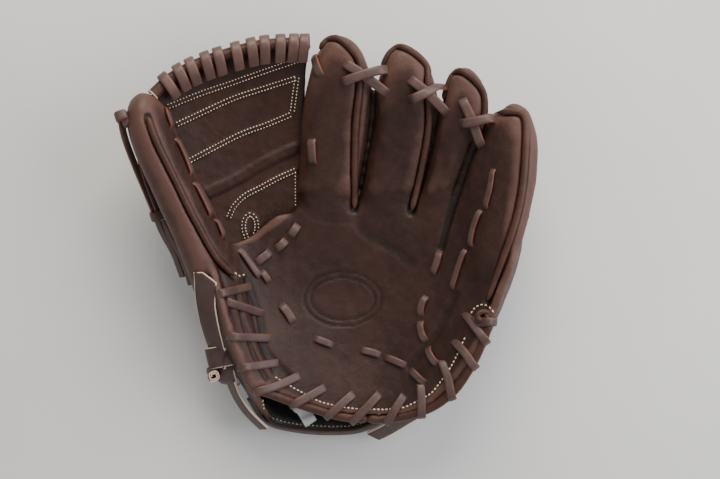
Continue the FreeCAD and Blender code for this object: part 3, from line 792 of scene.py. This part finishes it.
web = {
    "thick": 6.0, "across": 84, "along": 100, "pressure": 9.0, "frames": 20, "reach": 3.4, "sewn": 2.3,
    "fill": 0.45,
    "seamDeep": 0.8, "seamWide": 2.2, "foldDeep": 1.8, "foldWide": 4.6, "swell": 2.2,
    "swellReach": 7, "rimHeld": 5, "ripple": 0.45, "crestRelax": 30, "crestReach": 0.0014,
}


def webPlace(u, v):
    return rowPoint(webRows, thereAndBack(u), v) - Vector((0, 0, lowerBy(u, v, web["thick"])))


def nearest(points, lines):  # distance in millimetres, seen from above, from each point to the nearest line
    dots = [Vector((p.x, p.y, 0)) for line in lines for p in evenlyFlat(line, 1.0)]
    tree = nearTree([(dot,) for dot in dots])
    return np.array([tree.find(Vector((p[0] * 1000, p[1] * 1000, 0)))[2] for p in points])


def puffed(piece, pinned, pressure, reach, frames):  # stuffed by a short cloth simulation
    rest = coordinates(piece)
    group = piece.vertex_groups.new(name="sewn")
    group.add([int(k) for k in np.flatnonzero(pinned)], 1.0, "REPLACE")
    cloth = piece.modifiers.new("stuffing", "CLOTH").settings
    cloth.use_pressure = True
    cloth.uniform_pressure_force = pressure
    cloth.effector_weights.gravity = 0
    cloth.vertex_group_mass = "sewn"
    cloth.quality = 4
    for number in range(1, frames + 1):
        bpy.context.scene.frame_set(number)
    shaped = piece.evaluated_get(bpy.context.evaluated_depsgraph_get()).to_mesh()
    flat = np.zeros(len(shaped.vertices) * 3, np.float32)
    shaped.vertices.foreach_get("co", flat)
    piece.modifiers.clear()
    bpy.context.scene.frame_set(1)
    move = flat.reshape(-1, 3).astype(float) - rest
    length = np.maximum(np.linalg.norm(move, axis=1), 1e-9)
    move *= (np.minimum(length, reach / 1000) / length)[:, None]
    return rest + relaxed(move, meshEdges(piece), 2)


webPanel = formGrid("webPanel", web["across"], web["along"], webPlace, wrap=True)
seamLines = webSeams + [webLoop]
webRest = coordinates(webPanel)
fromSeam = nearest(webRest, seamLines)
rims = nearest(webRest, [[row[0][:2] for row in webRows], [row[-1][:2] for row in webRows]])
held = (fromSeam < web["sewn"]) | (rims < web["rimHeld"])
setCoordinates(webPanel, puffed(webPanel, held, web["pressure"], web["reach"], web["frames"]))
print("web stuffed")
applyModifier(webPanel, "SUBSURF", levels=1, render_levels=1)
webGround = Ground(webPanel)
webGrooves = []
for lines, deep, wide in ((seamLines, "seamDeep", "seamWide"), ([webFold], "foldDeep", "foldWide")):
    for line in lines:
        for point in evenlyFlat(line, 1.0):
            webGrooves.append((webGround.drop(point.x, point.y)[0], web[deep], web[wide]))
webPoints, webNormals = coordinates(webPanel), vertexNormals(webPanel)
ripple = np.array([noise.noise(Vector(p) * 70) + 0.6 * noise.noise(Vector(p) * 170) for p in webPoints])
webPoints = webPoints + webNormals * (ripple * web["ripple"] / 1000)[:, None]
setCoordinates(webPanel, pressed(webPoints, webNormals, webGrooves))
# the web's crests get a painted highlight mixed with real pull-up, and its seams and folds get painted shade
setAttribute(webPanel, "wearHighlightAndShade", wearHighlightAndShadeOf(webPanel, web["crestRelax"], web["crestReach"]))
webPanel.data.materials.append(webLeather)
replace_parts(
    webPanel, *[f"web_{level}_{half}_half" for level in ("upper", "lower") for half in ("thumb", "index")])
foldWith(webPanel)
webGround = Ground(webPanel)

webSewing = {"pitch": 2.45, "share": 0.46}  # short, close stitches
webStitches = Builder("webStitches")
for route in webSeams:
    for side in (-0.5, 0.5):
        sew(webStitches, route, webGround, **webSewing, side=side * thread["twin"])
for side in (-0.45, 0.45):
    sew(webStitches, webLoop, webGround, **webSewing, side=side * thread["twin"])
sew(webStitches, [(-25, 53), (-25, 40), (-25, 27)], webGround, **webSewing)
webStitches.made(creamThread, "web_leather", fold=thumbFold)

# the rolled binding along the web's top and the lace whipped over it

bindingLine = [(-130, 110, 81), (-116, 123, 78), (-93, 135, 75), (-57, 146.5, 71), (-35, 149.5, 69),
               (-13, 150, 67)]
wrapPlaces = [-120, -111, -101.5, -91, -80.5, -69, -57, -46, -35.5, -25.5, -17]  # where each turn crosses
whip = {"radius": 4.6, "wide": 7.8, "thick": 2.0, "lean": 2.6, "samples": 24}
cutEnd = {"share": 0.92, "proud": 0.2, "radius": 0.75, "first": -3, "last": 13}  # twentieths of a turn
binding = Builder("webBinding")
bindingPoints = evenly(bindingLine, 2.0)
layTube(binding, bindingPoints, whip["radius"], sides=18, tips=False)
bindingPiece = binding.made(weltLeather, "web_leather", fold=thumbFold)
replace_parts(bindingPiece, "web_binding_thumb_half", "web_binding_index_half")

bindingEnd = Builder("webBindingCutEnd")  # the hide's pale cut edge, seen where the roll ends
endPoint, endCourse = bindingPoints[0], (bindingPoints[0] - bindingPoints[2]).normalized()
endAcross = endCourse.cross(Vector((0, 0, 1))).normalized()
endUp = endAcross.cross(endCourse)
endRing = [
    endPoint + (endAcross * math.cos(a * math.pi / 10)
                + endUp * math.sin(a * math.pi / 10)) * whip["radius"] * cutEnd["share"]
    + endCourse * cutEnd["proud"]
    for a in range(cutEnd["first"], cutEnd["last"] + 1)
]
bindingEnd.sweep(tubeFrames(endRing), roundSection(cutEnd["radius"], 8))
bindingEnd.made(paleEdge, "web_leather", fold=thumbFold)

whipLace = Builder("webWhipLace")
wrapLoop = [  # down the web and up over the roll
    (3.0, -6.5), (-3.5, -6.0), (-6.6, -1.5), (-5.2, 4.2), (0.0, 6.6), (5.4, 4.8), (9.5, 1.6), (13.5, -3.0),
]
for place in wrapPlaces:
    spot = min(range(1, len(bindingPoints) - 1), key=lambda k: abs(bindingPoints[k].x - place))
    centre = bindingPoints[spot]
    course = (bindingPoints[spot + 1] - bindingPoints[spot - 1]).normalized()
    down = Vector((course.y, -course.x, 0)).normalized()
    up = course.cross(down) * -1
    if up.z < 0:
        up = -up
    loop, facing = [], []
    for k in range(whip["samples"] + 1):
        out, rise = through(wrapLoop, k / whip["samples"])
        loop.append(centre + down * out + up * rise + course * whip["lean"] * (0.5 - k / whip["samples"]))
        facing.append((down * (out - 1.5) + up * (rise + 0.5)).normalized())
    whipLace.sweep(stripFrames(loop, softened(facing, 3), whip["wide"], whip["thick"]), stripSection)
whipPiece = whipLace.made(wrapLace, "rawhide_lace", fold=thumbFold)
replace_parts(whipPiece, "web_wrap_lace_thumb_half", "web_wrap_lace_index_half")
print("web done")

# piping between the panels, and the laces that run through the leather

piping = {"radius": 2.6, "rise": 1.1}
sides = {"hand": thumbFold, "little": littleFold}
weltSide = {"thumb": "hand", "index": "hand", "middle": "hand", "ring": "little", "little": "little"}
for name, line in weltLines.items():
    welt = Builder(name + "Welt")
    points = [point + normal * (piping["rise"] - channel["deep"] * 0.3) for point, normal in line]
    layTube(welt, eased(points, 3)[::2], piping["radius"], sides=12)
    piece = welt.made(weltLeather, "piping_leather", fold=sides[weltSide[name]])
    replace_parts(piece, {"thumb": "thumb_welt"}.get(name, name + "_finger_welt"))

laceRuns = {  # routes seen from above; each dives into its hole at both ends
    "thumbEdgeLace": {
        "side": "hand", "stands": ["thumb_edge_lace"], "wide": 5.0,
        "routes": [
            [(-123, 107), (-120, 95), (-115, 82)], [(-114, 79), (-107, 62), (-101, 47)],
            [(-101, 46), (-94, 31), (-87, 16)], [(-84, 19), (-79, 10), (-73, 2)],
            [(-69, -5), (-59, -19), (-51, -30)], [(-52, -22), (-47, -29), (-44, -35)],
        ],
    },
    "thumbPalmLace": {
        "side": "hand", "stands": ["thumb_palm_lace"], "routes": [[(-37, -48), (-30, -57), (-25, -66)]],
    },
    "webBaseLace": {
        "side": "hand", "stands": ["web_base_lace"],
        "routes": [[(-22, 14), (-26, 8), (-31, 1)], [(-31, 2), (-37, -4), (-43, -8)],
                   [(-43, -7), (-49, -12), (-57, -18)]],
    },
    "webIndexLace": {
        "side": "hand", "stands": ["web_index_lace"], "wide": 6.8,
        "routes": [[(-10, 146), (-7, 134), (-4, 123)], [(-12, 80), (-11, 68), (-11, 57)]],
    },
    "palmLace": {
        "side": "little", "stands": ["palm_lace"], "wide": 5.4,
        "routes": [
            [(-12, -75), (-3, -78), (7, -82)], [(24, -84), (34, -86), (43, -89)],
            [(43, -89), (54, -93), (63, -97)],
            [(63, -98), (70, -104), (76, -110)],
        ],
    },
    "littlePalmLace": {
        "side": "little", "stands": ["little_palm_lace"], "wide": 5.6,
        "routes": [
            [(77, -41), (73, -50), (72, -60)], [(72, -60), (73, -70), (77, -79)],
            [(77, -80), (80, -88), (86, -96)],
            [(87, -6), (85, -16), (80, -28)],
        ],
    },
    "littleChainLace": {
        "side": "little", "stands": ["little_chain_lace"], "wide": 4.6,
        "routes": [[(126, 56), (124, 40), (119, 22)], [(117, 25), (112, 10), (109, -6)],
                   [(106, -5), (101, -20), (95, -39)]],
    },
}
for name, run in laceRuns.items():
    strand = Builder(name)
    for route in run["routes"]:
        layStrip(strand, route, ground, wide=run.get("wide"))
    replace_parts(strand.made(rawhideLace, "rawhide_lace", fold=sides[run["side"]]), *run["stands"])

# the crossed laces that tie neighbouring fingertips: lower run first, the upper one lies over it
crossings = {
    "indexMiddleLace": {
        "fold": thumbFold, "stands": "index_middle_lace",
        "lower": [(12, 136), (28, 126), (48, 111)], "upper": [(10, 120), (28, 126), (48, 131)],
    },
    "middleRingLace": {
        "fold": littleFold, "stands": "middle_ring_lace", "over": 5.6,
        "lower": [(62, 124), (77, 112), (93, 96)], "upper": [(62, 107), (77, 112), (93, 118)],
    },
    "ringLittleLace": {
        "fold": littleFold, "stands": "ring_little_lace",
        "lower": [(102, 109), (110, 92), (118, 70)], "upper": [(100, 89), (114, 90), (130, 93)],
    },
}
tie = {"wide": 7.2, "arch": 2.0, "over": 2.3}
for name, cross in crossings.items():
    strand = Builder(name)
    layStrip(strand, cross["lower"], ground, bridge=tie["arch"], wide=tie["wide"])
    layStrip(strand, cross["upper"], ground, bridge=tie["arch"], wide=tie["wide"],
             lift=cross.get("over", tie["over"]))
    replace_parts(strand.made(rawhideLace, "rawhide_lace", fold=cross["fold"]), cross["stands"])
print("laces laid")

# the heel's rolled edge, the lace whipped round it and the rows of stitches

heelEdge = [
    (-57, -113, 60), (-44, -117, 55), (-26, -124, 51), (8, -134.5, 48.5), (30, -137, 48.5), (50, -136.5, 50),
    (76, -129.5, 55), (95, -116, 63), (107, -99, 70), (116, -80, 77), (123, -60, 82),
]
rim = {"radius": 3.7, "drop": -2.0, "middle": 30}
rimLine = [point + Vector((0, 0, rim["drop"])) for point in evenly(heelEdge, 2.0)]
for name, keep, fold, stands in (
        ("heelBindingPalm", [p for p in rimLine if p.x < rim["middle"] + 2], thumbFold, ["heel_binding"]),
        ("heelBindingLittle", [p for p in rimLine if p.x > rim["middle"] - 2], littleFold, [])):
    roll = Builder(name)
    layTube(roll, keep, rim["radius"], sides=14)
    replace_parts(roll.made(weltLeather, "shell_leather", fold=fold), *stands)

heelWraps = [  # from the palm's hole to where the lace passes over the edge
    ("hand", (-59, -35), (-82, -40)), ("hand", (-50, -56), (-78, -45)), ("hand", (-44, -75), (-74, -72)),
    ("hand", (-38, -94), (-66, -96)), ("hand", (-22, -104), (-52, -117)), ("hand", (-2, -113), (-24, -125)),
    ("hand", (20, -118), (2, -133)),
    ("little", (40, -118), (22, -137)), ("little", (59, -119), (47, -137)),
    ("little", (72, -110), (73, -131)),
    ("little", (88, -92), (97, -118)), ("little", (97, -76), (113, -94)), ("little", (105, -55), (119, -74)),
    ("little", (108, -60), (126, -62)),
]
wrapStrands = {"hand": Builder("heelLaceThumb"), "little": Builder("heelLaceLittle")}
heelLace = {"turn": 7.0, "hang": 9.0, "rise": 2.6, "samples": 26, "wide": 6.4, "onRoll": 9.0, "sunk": 3.5}


def upBy(height):
    return Vector((0, 0, height))


for side, hole, over in heelWraps:
    inside, _ = ground.drop(*hole)
    atEdge, _ = ground.drop(over[0] * 0.85 + hole[0] * 0.15, over[1] * 0.85 + hole[1] * 0.15)
    middle, _ = ground.drop((over[0] + hole[0]) / 2, (over[1] + hole[1]) / 2)
    out = Vector((over[0] - hole[0], over[1] - hole[1], 0)).normalized()
    far = Vector((over[0], over[1], atEdge.z)) + out * 1.5
    roll = min(rimLine, key=lambda p: math.hypot(p.x - over[0], p.y - over[1]))
    if math.hypot(roll.x - over[0], roll.y - over[1]) < heelLace["onRoll"]:  # goes round the rolled edge
        atEdge = roll - out * 1.0 + upBy(rim["radius"] - heelLace["rise"] + 1.0)
        far = roll + out * (rim["radius"] + 0.8) + upBy(1.5)
    level = max(middle.z, (inside.z + atEdge.z) / 2)
    rise, hang = heelLace["rise"], heelLace["hang"]
    controls = [  # up out of the hole, over the edge and down behind it
        inside - upBy(heelLace["sunk"]) - out * 0.5, inside + upBy(0.6) + out * 1.0,
        Vector((middle.x, middle.y, level)) + upBy(rise - 0.6),
        Vector((atEdge.x, atEdge.y, atEdge.z + rise)), far + upBy(-1.5),
        far - out * 0.5 - upBy(hang), far - out * heelLace["turn"] - upBy(hang + 3),
    ]
    count = heelLace["samples"]
    path = [Vector(through([tuple(c) for c in controls], k / count)) for k in range(count + 1)]
    facing = [
        (upBy(1) * (1 - smoothStep(0.55, 0.8, k / count)) + out * smoothStep(0.5, 0.75, k / count)
         - upBy(1) * smoothStep(0.85, 1.0, k / count)).normalized()
        for k in range(count + 1)
    ]
    wrapStrands[side].sweep(stripFrames(path, softened(facing, 3), heelLace["wide"], lace["thick"]),
                            stripSection)
thumbHeelLace = wrapStrands["hand"].made(rawhideLace, "rawhide_lace", fold=thumbFold)
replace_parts(thumbHeelLace, "thumb_heel_lace")
littleHeelLace = wrapStrands["little"].made(rawhideLace, "rawhide_lace", fold=littleFold)
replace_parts(littleHeelLace, "little_heel_lace")

stitchRows = {
    "heelStitchesPalm": ("hand", [[(-39, -105), (-24, -114), (-7, -123), (8, -127), (21, -129),
                                   (30, -129.5)]]),
    "heelStitchesLittle": ("little", [[
        (33, -129.5), (46, -129.5), (58, -128), (67, -124), (79, -117), (85, -110), (92, -100), (98, -89),
        (105, -73),
    ]]),
    "rolledEndStitches": ("little", [[(110, -54), (113, -50), (118, -48), (123, -50), (126, -54)]]),
    "thumbEndStitches": ("hand", [[(-70, -25), (-67, -27), (-64, -26)]]),
}
for name, (side, rows) in stitchRows.items():
    row = Builder(name)
    for route in rows:
        sew(row, route, ground)
    row.made(creamThread, "rawhide_lace", fold=sides[side])

curl = Builder("littleRolledEnd")  # where the little finger's piping rolls under
curlCentre, _ = ground.drop(118, -57)
curlTurns = [
    curlCentre + Vector((math.cos(a / 10) * (6.0 - a * 0.055), math.sin(a / 10) * (4.6 - a * 0.045),
                         1.4 + a * 0.008))
    for a in range(0, 76, 2)
]
layTube(curl, curlTurns, 2.4, sides=10)
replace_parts(curl.made(weltLeather, "piping_leather", fold=littleFold), "little_rolled_end")
print("heel done")

# the wrist opening: strap, black lining, label and flap


def pathOf(controls, count):
    return [Vector(through(controls, k / count)) for k in range(count + 1)]


def layBand(builder, controls, facing, wide, thick, count=24):  # a flat band on a smooth path, facing one way
    facings = [Vector(facing).normalized()] * (count + 1)
    builder.sweep(stripFrames(pathOf(controls, count), facings, wide, thick), stripSection)


cuffLine = [(-60, -124, 24), (-46, -143, 19), (-21, -149.5, 15), (4, -151, 14), (25, -149, 15),
            (46, -139, 19), (64, -124, 26)]
cuff = {"tall": 20.0, "thick": 3.0, "samples": 60, "lining": 1.6, "lean": 0.25}
cuffPath = pathOf(cuffLine, cuff["samples"])
cuffMiddle = Vector((2, -60, 0))
cuffOut = [(Vector((p.x, p.y, 0)) - cuffMiddle).normalized() + Vector((0, 0, cuff["lean"])) for p in cuffPath]
wristStrap = Builder("wristStrap")
wristStrap.sweep(stripFrames(cuffPath, [v.normalized() for v in cuffOut], cuff["tall"], cuff["thick"]),
                 stripSection)
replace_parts(wristStrap.made(strapLeather, "strap_leather", fold=thumbFold), "wrist_strap")

# inwards, and up
liningSteps = [(1.6, 9.0), (4.5, 3.0), (9.0, -4.0), (17.0, -8.0), (30.0, -9.0), (44.0, -7.0)]


def liningPlace(u, v):
    across = thereAndBack(u)
    inward, rise = through(liningSteps, across)
    share = 0.03 + 0.94 * v
    base = Vector(through(cuffLine, share))
    out = (Vector((base.x, base.y, 0)) - cuffMiddle).normalized()
    point = base - out * inward
    point.z = max(base.z + rise, 4.2)
    return point - Vector((0, 0, lowerBy(u, v, cuff["lining"])))


wristLining = formGrid("wristLining", 60, 90, liningPlace, wrap=True)
tufted = coordinates(wristLining)
pile = np.array([noise.noise(Vector(p) * 450) + 0.6 * noise.noise(Vector(p) * 150) for p in tufted])
setCoordinates(wristLining, tufted + vertexNormals(wristLining) * (pile * 0.5 / 1000)[:, None])
wristLining.data.materials.append(blackFleece)
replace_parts(foldWith(wristLining), "wrist_lining")
liningGround = Ground(wristLining)

wristStitches = Builder("wristStitches")
sew(wristStitches, [(-43, -139.5), (-30, -143.5), (-10, -146), (8, -146.5), (21, -145.5), (33, -141.5)],
    liningGround)
sew(wristStitches, [(-50, -120), (-49.5, -125), (-49, -131)], ground)
wristStitches.made(creamThread, "strap_leather", fold=thumbFold)

labelPath = [(-27, -126, 17), (-23, -130, 22), (-20.5, -131.5, 21), (-17.5, -136, 20.5), (-15, -140, 22.5),
             (-13, -143.5, 21)]
label = Builder("wristLabel")
labelCut = {"wide": 10.5, "long": 26.0, "thick": 0.7}
layBand(label, labelPath, (0.25, -0.1, 1), labelCut["wide"], labelCut["thick"])
labelPiece = label.made(labelCloth, "label_cloth", fold=thumbFold)
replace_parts(labelPiece, "wrist_label")

flapPath = [(74, -129, 42), (63, -136, 36), (52, -144, 27), (43, -150, 19), (36, -154, 13)]
flapCut = {"wide": 15, "thick": 3.0}
flap = Builder("wristFlap")
layBand(flap, flapPath, (0.35, -0.5, 0.8), flapCut["wide"], flapCut["thick"])
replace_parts(flap.made(strapCut, "strap_leather", body="palm"), "wrist_flap")

# the adjusting strap down the thumb's side, its keeper and its rolled end

strapLine = [(-92, -23), (-91, -40), (-88, -60), (-83, -80), (-80, -92)]
thumbStrap = Builder("adjustingStrap")
strap = {"wide": 17.0, "thick": 2.8, "lift": 2.2, "gap": 2.5, "tailThick": 3.2}
strapHits = [ground.drop(p.x, p.y) for p in evenlyFlat(strapLine, strap["gap"])]
strapPoints = [hit + normal * strap["lift"] for hit, normal in strapHits]
strapUps = softened([(normal + Vector((-0.1, 0, 0.9))).normalized() for _, normal in strapHits], 6)
strapPoints = eased(strapPoints, 4)
strapFrames = stripFrames(strapPoints, strapUps, strap["wide"], strap["thick"])
tip, tipAcross, tipUp = strapFrames[0]
strapFrames = [(tip + tipAcross * 0.8, tipAcross * 0.15, tipUp)] + [
    (p + a * (0.6 - 0.2 * k), a * (0.4 + 0.2 * k), u) for k, (p, a, u) in enumerate(strapFrames[:3])
] + strapFrames[3:]
thumbStrap.sweep(strapFrames, stripSection)
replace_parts(thumbStrap.made(strapCut, "strap_leather", fold=thumbFold), "adjusting_strap")


def loopRound(builder, centre, course, up, halfWide, halfDeep, wide, thick, turns=1.0, grow=0.0, start=-0.25):
    # a flat band wound round, its width along the course
    across = course.cross(up).normalized()
    up = across.cross(course).normalized()
    count = int(28 * turns)
    square = 0.7  # 1 would be a true ellipse
    points, ups = [], []
    for k in range(count + 1):
        angle = 2 * math.pi * (start + turns * k / count)
        c, s = math.cos(angle), math.sin(angle)
        more = grow * k / count
        x = math.copysign(abs(c) ** square, c) * (halfWide + more)
        z = math.copysign(abs(s) ** square, s) * (halfDeep + more)
        points.append(centre + across * x + up * z)
        ups.append((across * c / halfWide + up * s / halfDeep).normalized())
    builder.sweep(stripFrames(points, ups, wide, thick), stripSection)


keeperCourse = Vector((0.22, -0.97, -0.05)).normalized()
keeperUp = Vector((-0.35, -0.05, 0.93)).normalized()
keeperCentre = strapPoints[-3] + Vector((1.0, -1.0, -1.5))
keeper = {"halfWide": 11.2, "halfDeep": 4.8, "wide": 16.5, "thick": 2.6, "start": -0.3}
strapKeeper = Builder("strapKeeper")
loopRound(strapKeeper, keeperCentre, keeperCourse, keeperUp, **keeper)
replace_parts(strapKeeper.made(strapCut, "strap_leather", fold=thumbFold), "strap_keeper")

strapTail = Builder("adjustingStrapTail")  # below the keeper: the folded end and its pale roll
tailStart = keeperCentre + keeperCourse * 7
tailPath = [
    tuple(tailStart), tuple(tailStart + Vector((0.5, -6, -1))), tuple(tailStart + Vector((2, -12, -5))),
    tuple(tailStart + Vector((4, -15, -11))),
]
layBand(strapTail, tailPath, keeperUp, strap["wide"], strap["tailThick"], count=14)
rollCourse = Vector((0.25, -0.3, 0.92)).normalized()
tailRoll = {"halfWide": 1.6, "halfDeep": 1.6, "wide": 11.0, "thick": 1.5, "turns": 1.9, "grow": 2.8}
rollCentre = tailStart + Vector((-9.0, -7.0, -1.5))
loopRound(strapTail, rollCentre, rollCourse, Vector((0.9, 0.3, -0.1)), **tailRoll)
strapTail.made(strapCut, "strap_leather", fold=thumbFold)

wristTail = Builder("wristStrapPaleEnd")  # the cuff strap's raw end, running down from the keeper
tailLine = [(-75, -106, 44), (-71, -119, 36), (-63, -133, 29), (-50, -147, 23)]
outward = [Vector((-0.8, -0.35, 0.45)).normalized(), Vector((-0.62, -0.65, 0.45)).normalized()]
tailPoints = pathOf(tailLine, 26)
wristTail.sweep(stripFrames(
    tailPoints, [outward[0].lerp(outward[1], k / 26).normalized() for k in range(27)], 15, 2.6), stripSection)
wristTail.made(strapCut, "strap_leather", fold=thumbFold)

# the lace outside the thumb: knot, two strands, keeper and tails

outerLace = {"strand": 5.4, "tail": 5.2}  # widths
outerStrands = Builder("thumbOuterLace")
for controls in (
        [(-153, 92, 90), (-151, 78, 84), (-145, 58, 73), (-138, 38, 61), (-132, 21, 52)],
        [(-141, 88, 82), (-141, 66, 74), (-137, 46, 64), (-131, 28, 56), (-128, 18, 51)]):
    layBand(outerStrands, controls, (0.55, 0.1, 0.8), outerLace["strand"], lace["thick"], count=30)
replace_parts(outerStrands.made(rawhideLace, "rawhide_lace", fold=thumbFold), "thumb_outer_lace")

knotCoil = {"halfWide": 0.9, "halfDeep": 0.9, "wide": 7.0, "thick": 1.7, "turns": 2.6, "grow": 4.0}
knotBand = {"halfWide": 4.6, "halfDeep": 3.0, "wide": 5.6, "thick": 1.8}
laceKnot = Builder("thumbLaceKnot")
coilCourse, bandCourse = Vector((0.3, -0.93, 0.2)).normalized(), Vector((0.9, 0.4, -0.1)).normalized()
loopRound(laceKnot, Vector((-152, 93, 91)), coilCourse, Vector((0, 0.2, 1)), **knotCoil)
loopRound(laceKnot, Vector((-150, 90, 89)), bandCourse, Vector((0, 0, 1)), **knotBand)
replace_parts(laceKnot.made(rawhideLace, "rawhide_lace", fold=thumbFold), "thumb_lace_knot")

laceBand = {"halfWide": 6.2, "halfDeep": 3.6, "wide": 7.5, "thick": 1.9}
laceKeeper = Builder("thumbLaceKeeper")
laceCourse = Vector((0.25, -0.9, -0.3)).normalized()
loopRound(laceKeeper, Vector((-129, 20.5, 51)), laceCourse, Vector((0.3, 0, 0.95)), **laceBand)
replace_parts(laceKeeper.made(rawhideLace, "rawhide_lace", fold=thumbFold), "thumb_lace_keeper")

laceTail = Builder("thumbLaceTail")
for controls in (
        [(-131, 17, 50), (-127, 6, 46), (-119, -10, 39), (-113, -28, 33)],
        [(-127, 16, 50), (-121, 3, 47), (-112, -14, 42), (-106, -34, 37)]):
    layBand(laceTail, controls, (-0.5, -0.2, 0.85), outerLace["tail"], lace["thick"])
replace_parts(laceTail.made(rawhideLace, "rawhide_lace", fold=thumbFold), "thumb_lace_tail")
print("wrist and straps done")

# what each shell stands for

stoodForByHand = [
    "palm_leather", "palm_felt_pad", "palm_lining", "back_leather", "back_lining", "thumb_heel_leather",
    "thumb_heel_pad", "thumb_side_leather", "thumb_stay", "index_finger_front", "index_finger_back",
    "middle_finger_front", "middle_finger_back", "thumb_front", "thumb_back",
]
stoodForByLittle = [
    "little_heel_leather", "little_heel_pad", "little_side_leather", "little_stay", "ring_finger_front",
    "ring_finger_back", "little_finger_front", "little_finger_back",
]
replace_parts(handShell, *stoodForByHand)
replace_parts(littleShell, *stoodForByLittle)

# floor, light and camera

view = {"x": 25.4, "y": 1.2, "z": 50.0, "away": 1300.0, "width": 554.0, "sensor": 36.0}


def placed(obj, x, y, z):
    obj.location = (x / 1000, y / 1000, z / 1000)
    bpy.context.scene.collection.objects.link(obj)
    return obj


def lamp(name, x, y, z, size, power, tint):
    light = bpy.data.lights.new(name, "AREA")
    light.shape = "DISK"
    light.size = size
    light.energy = power
    light.color = srgb(tint)[:3]
    obj = placed(bpy.data.objects.new(name, light), x, y, z)
    aim = Vector((view["x"], view["y"], 30)) / 1000 - obj.location
    obj.rotation_mode = "QUATERNION"
    obj.rotation_quaternion = aim.to_track_quat("-Z", "Y")
    return obj


lamp("keyLamp", 80, 1180, 960, 1.0, 23.0, "fff6ec")
lamp("fillLamp", 1150, 250, 760, 1.4, 18.0, "f6f7ff")
lamp("heelLamp", -600, -1150, 800, 1.4, 3.5, "fff8f0")

world = bpy.data.worlds.new("studio")
world.use_nodes = True
background = world.node_tree.nodes["Background"]
background.inputs["Color"].default_value = srgb("e8ebee")
background.inputs["Strength"].default_value = 0.5
bpy.context.scene.world = world

deselectAll()
bpy.ops.mesh.primitive_grid_add(x_subdivisions=2, y_subdivisions=2, size=12, location=(0, 0, -0.0005))
floor = bpy.context.object
floor.name = "floor"
floor.data.materials.append(seamlessPaper)

lens = bpy.data.cameras.new("camera")
lens.sensor_width = view["sensor"]
lens.lens = view["sensor"] * view["away"] / view["width"]
lens.clip_start, lens.clip_end = 0.05, 20
bpy.context.scene.camera = placed(
    bpy.data.objects.new("camera", lens), view["x"], view["y"], view["z"] + view["away"])
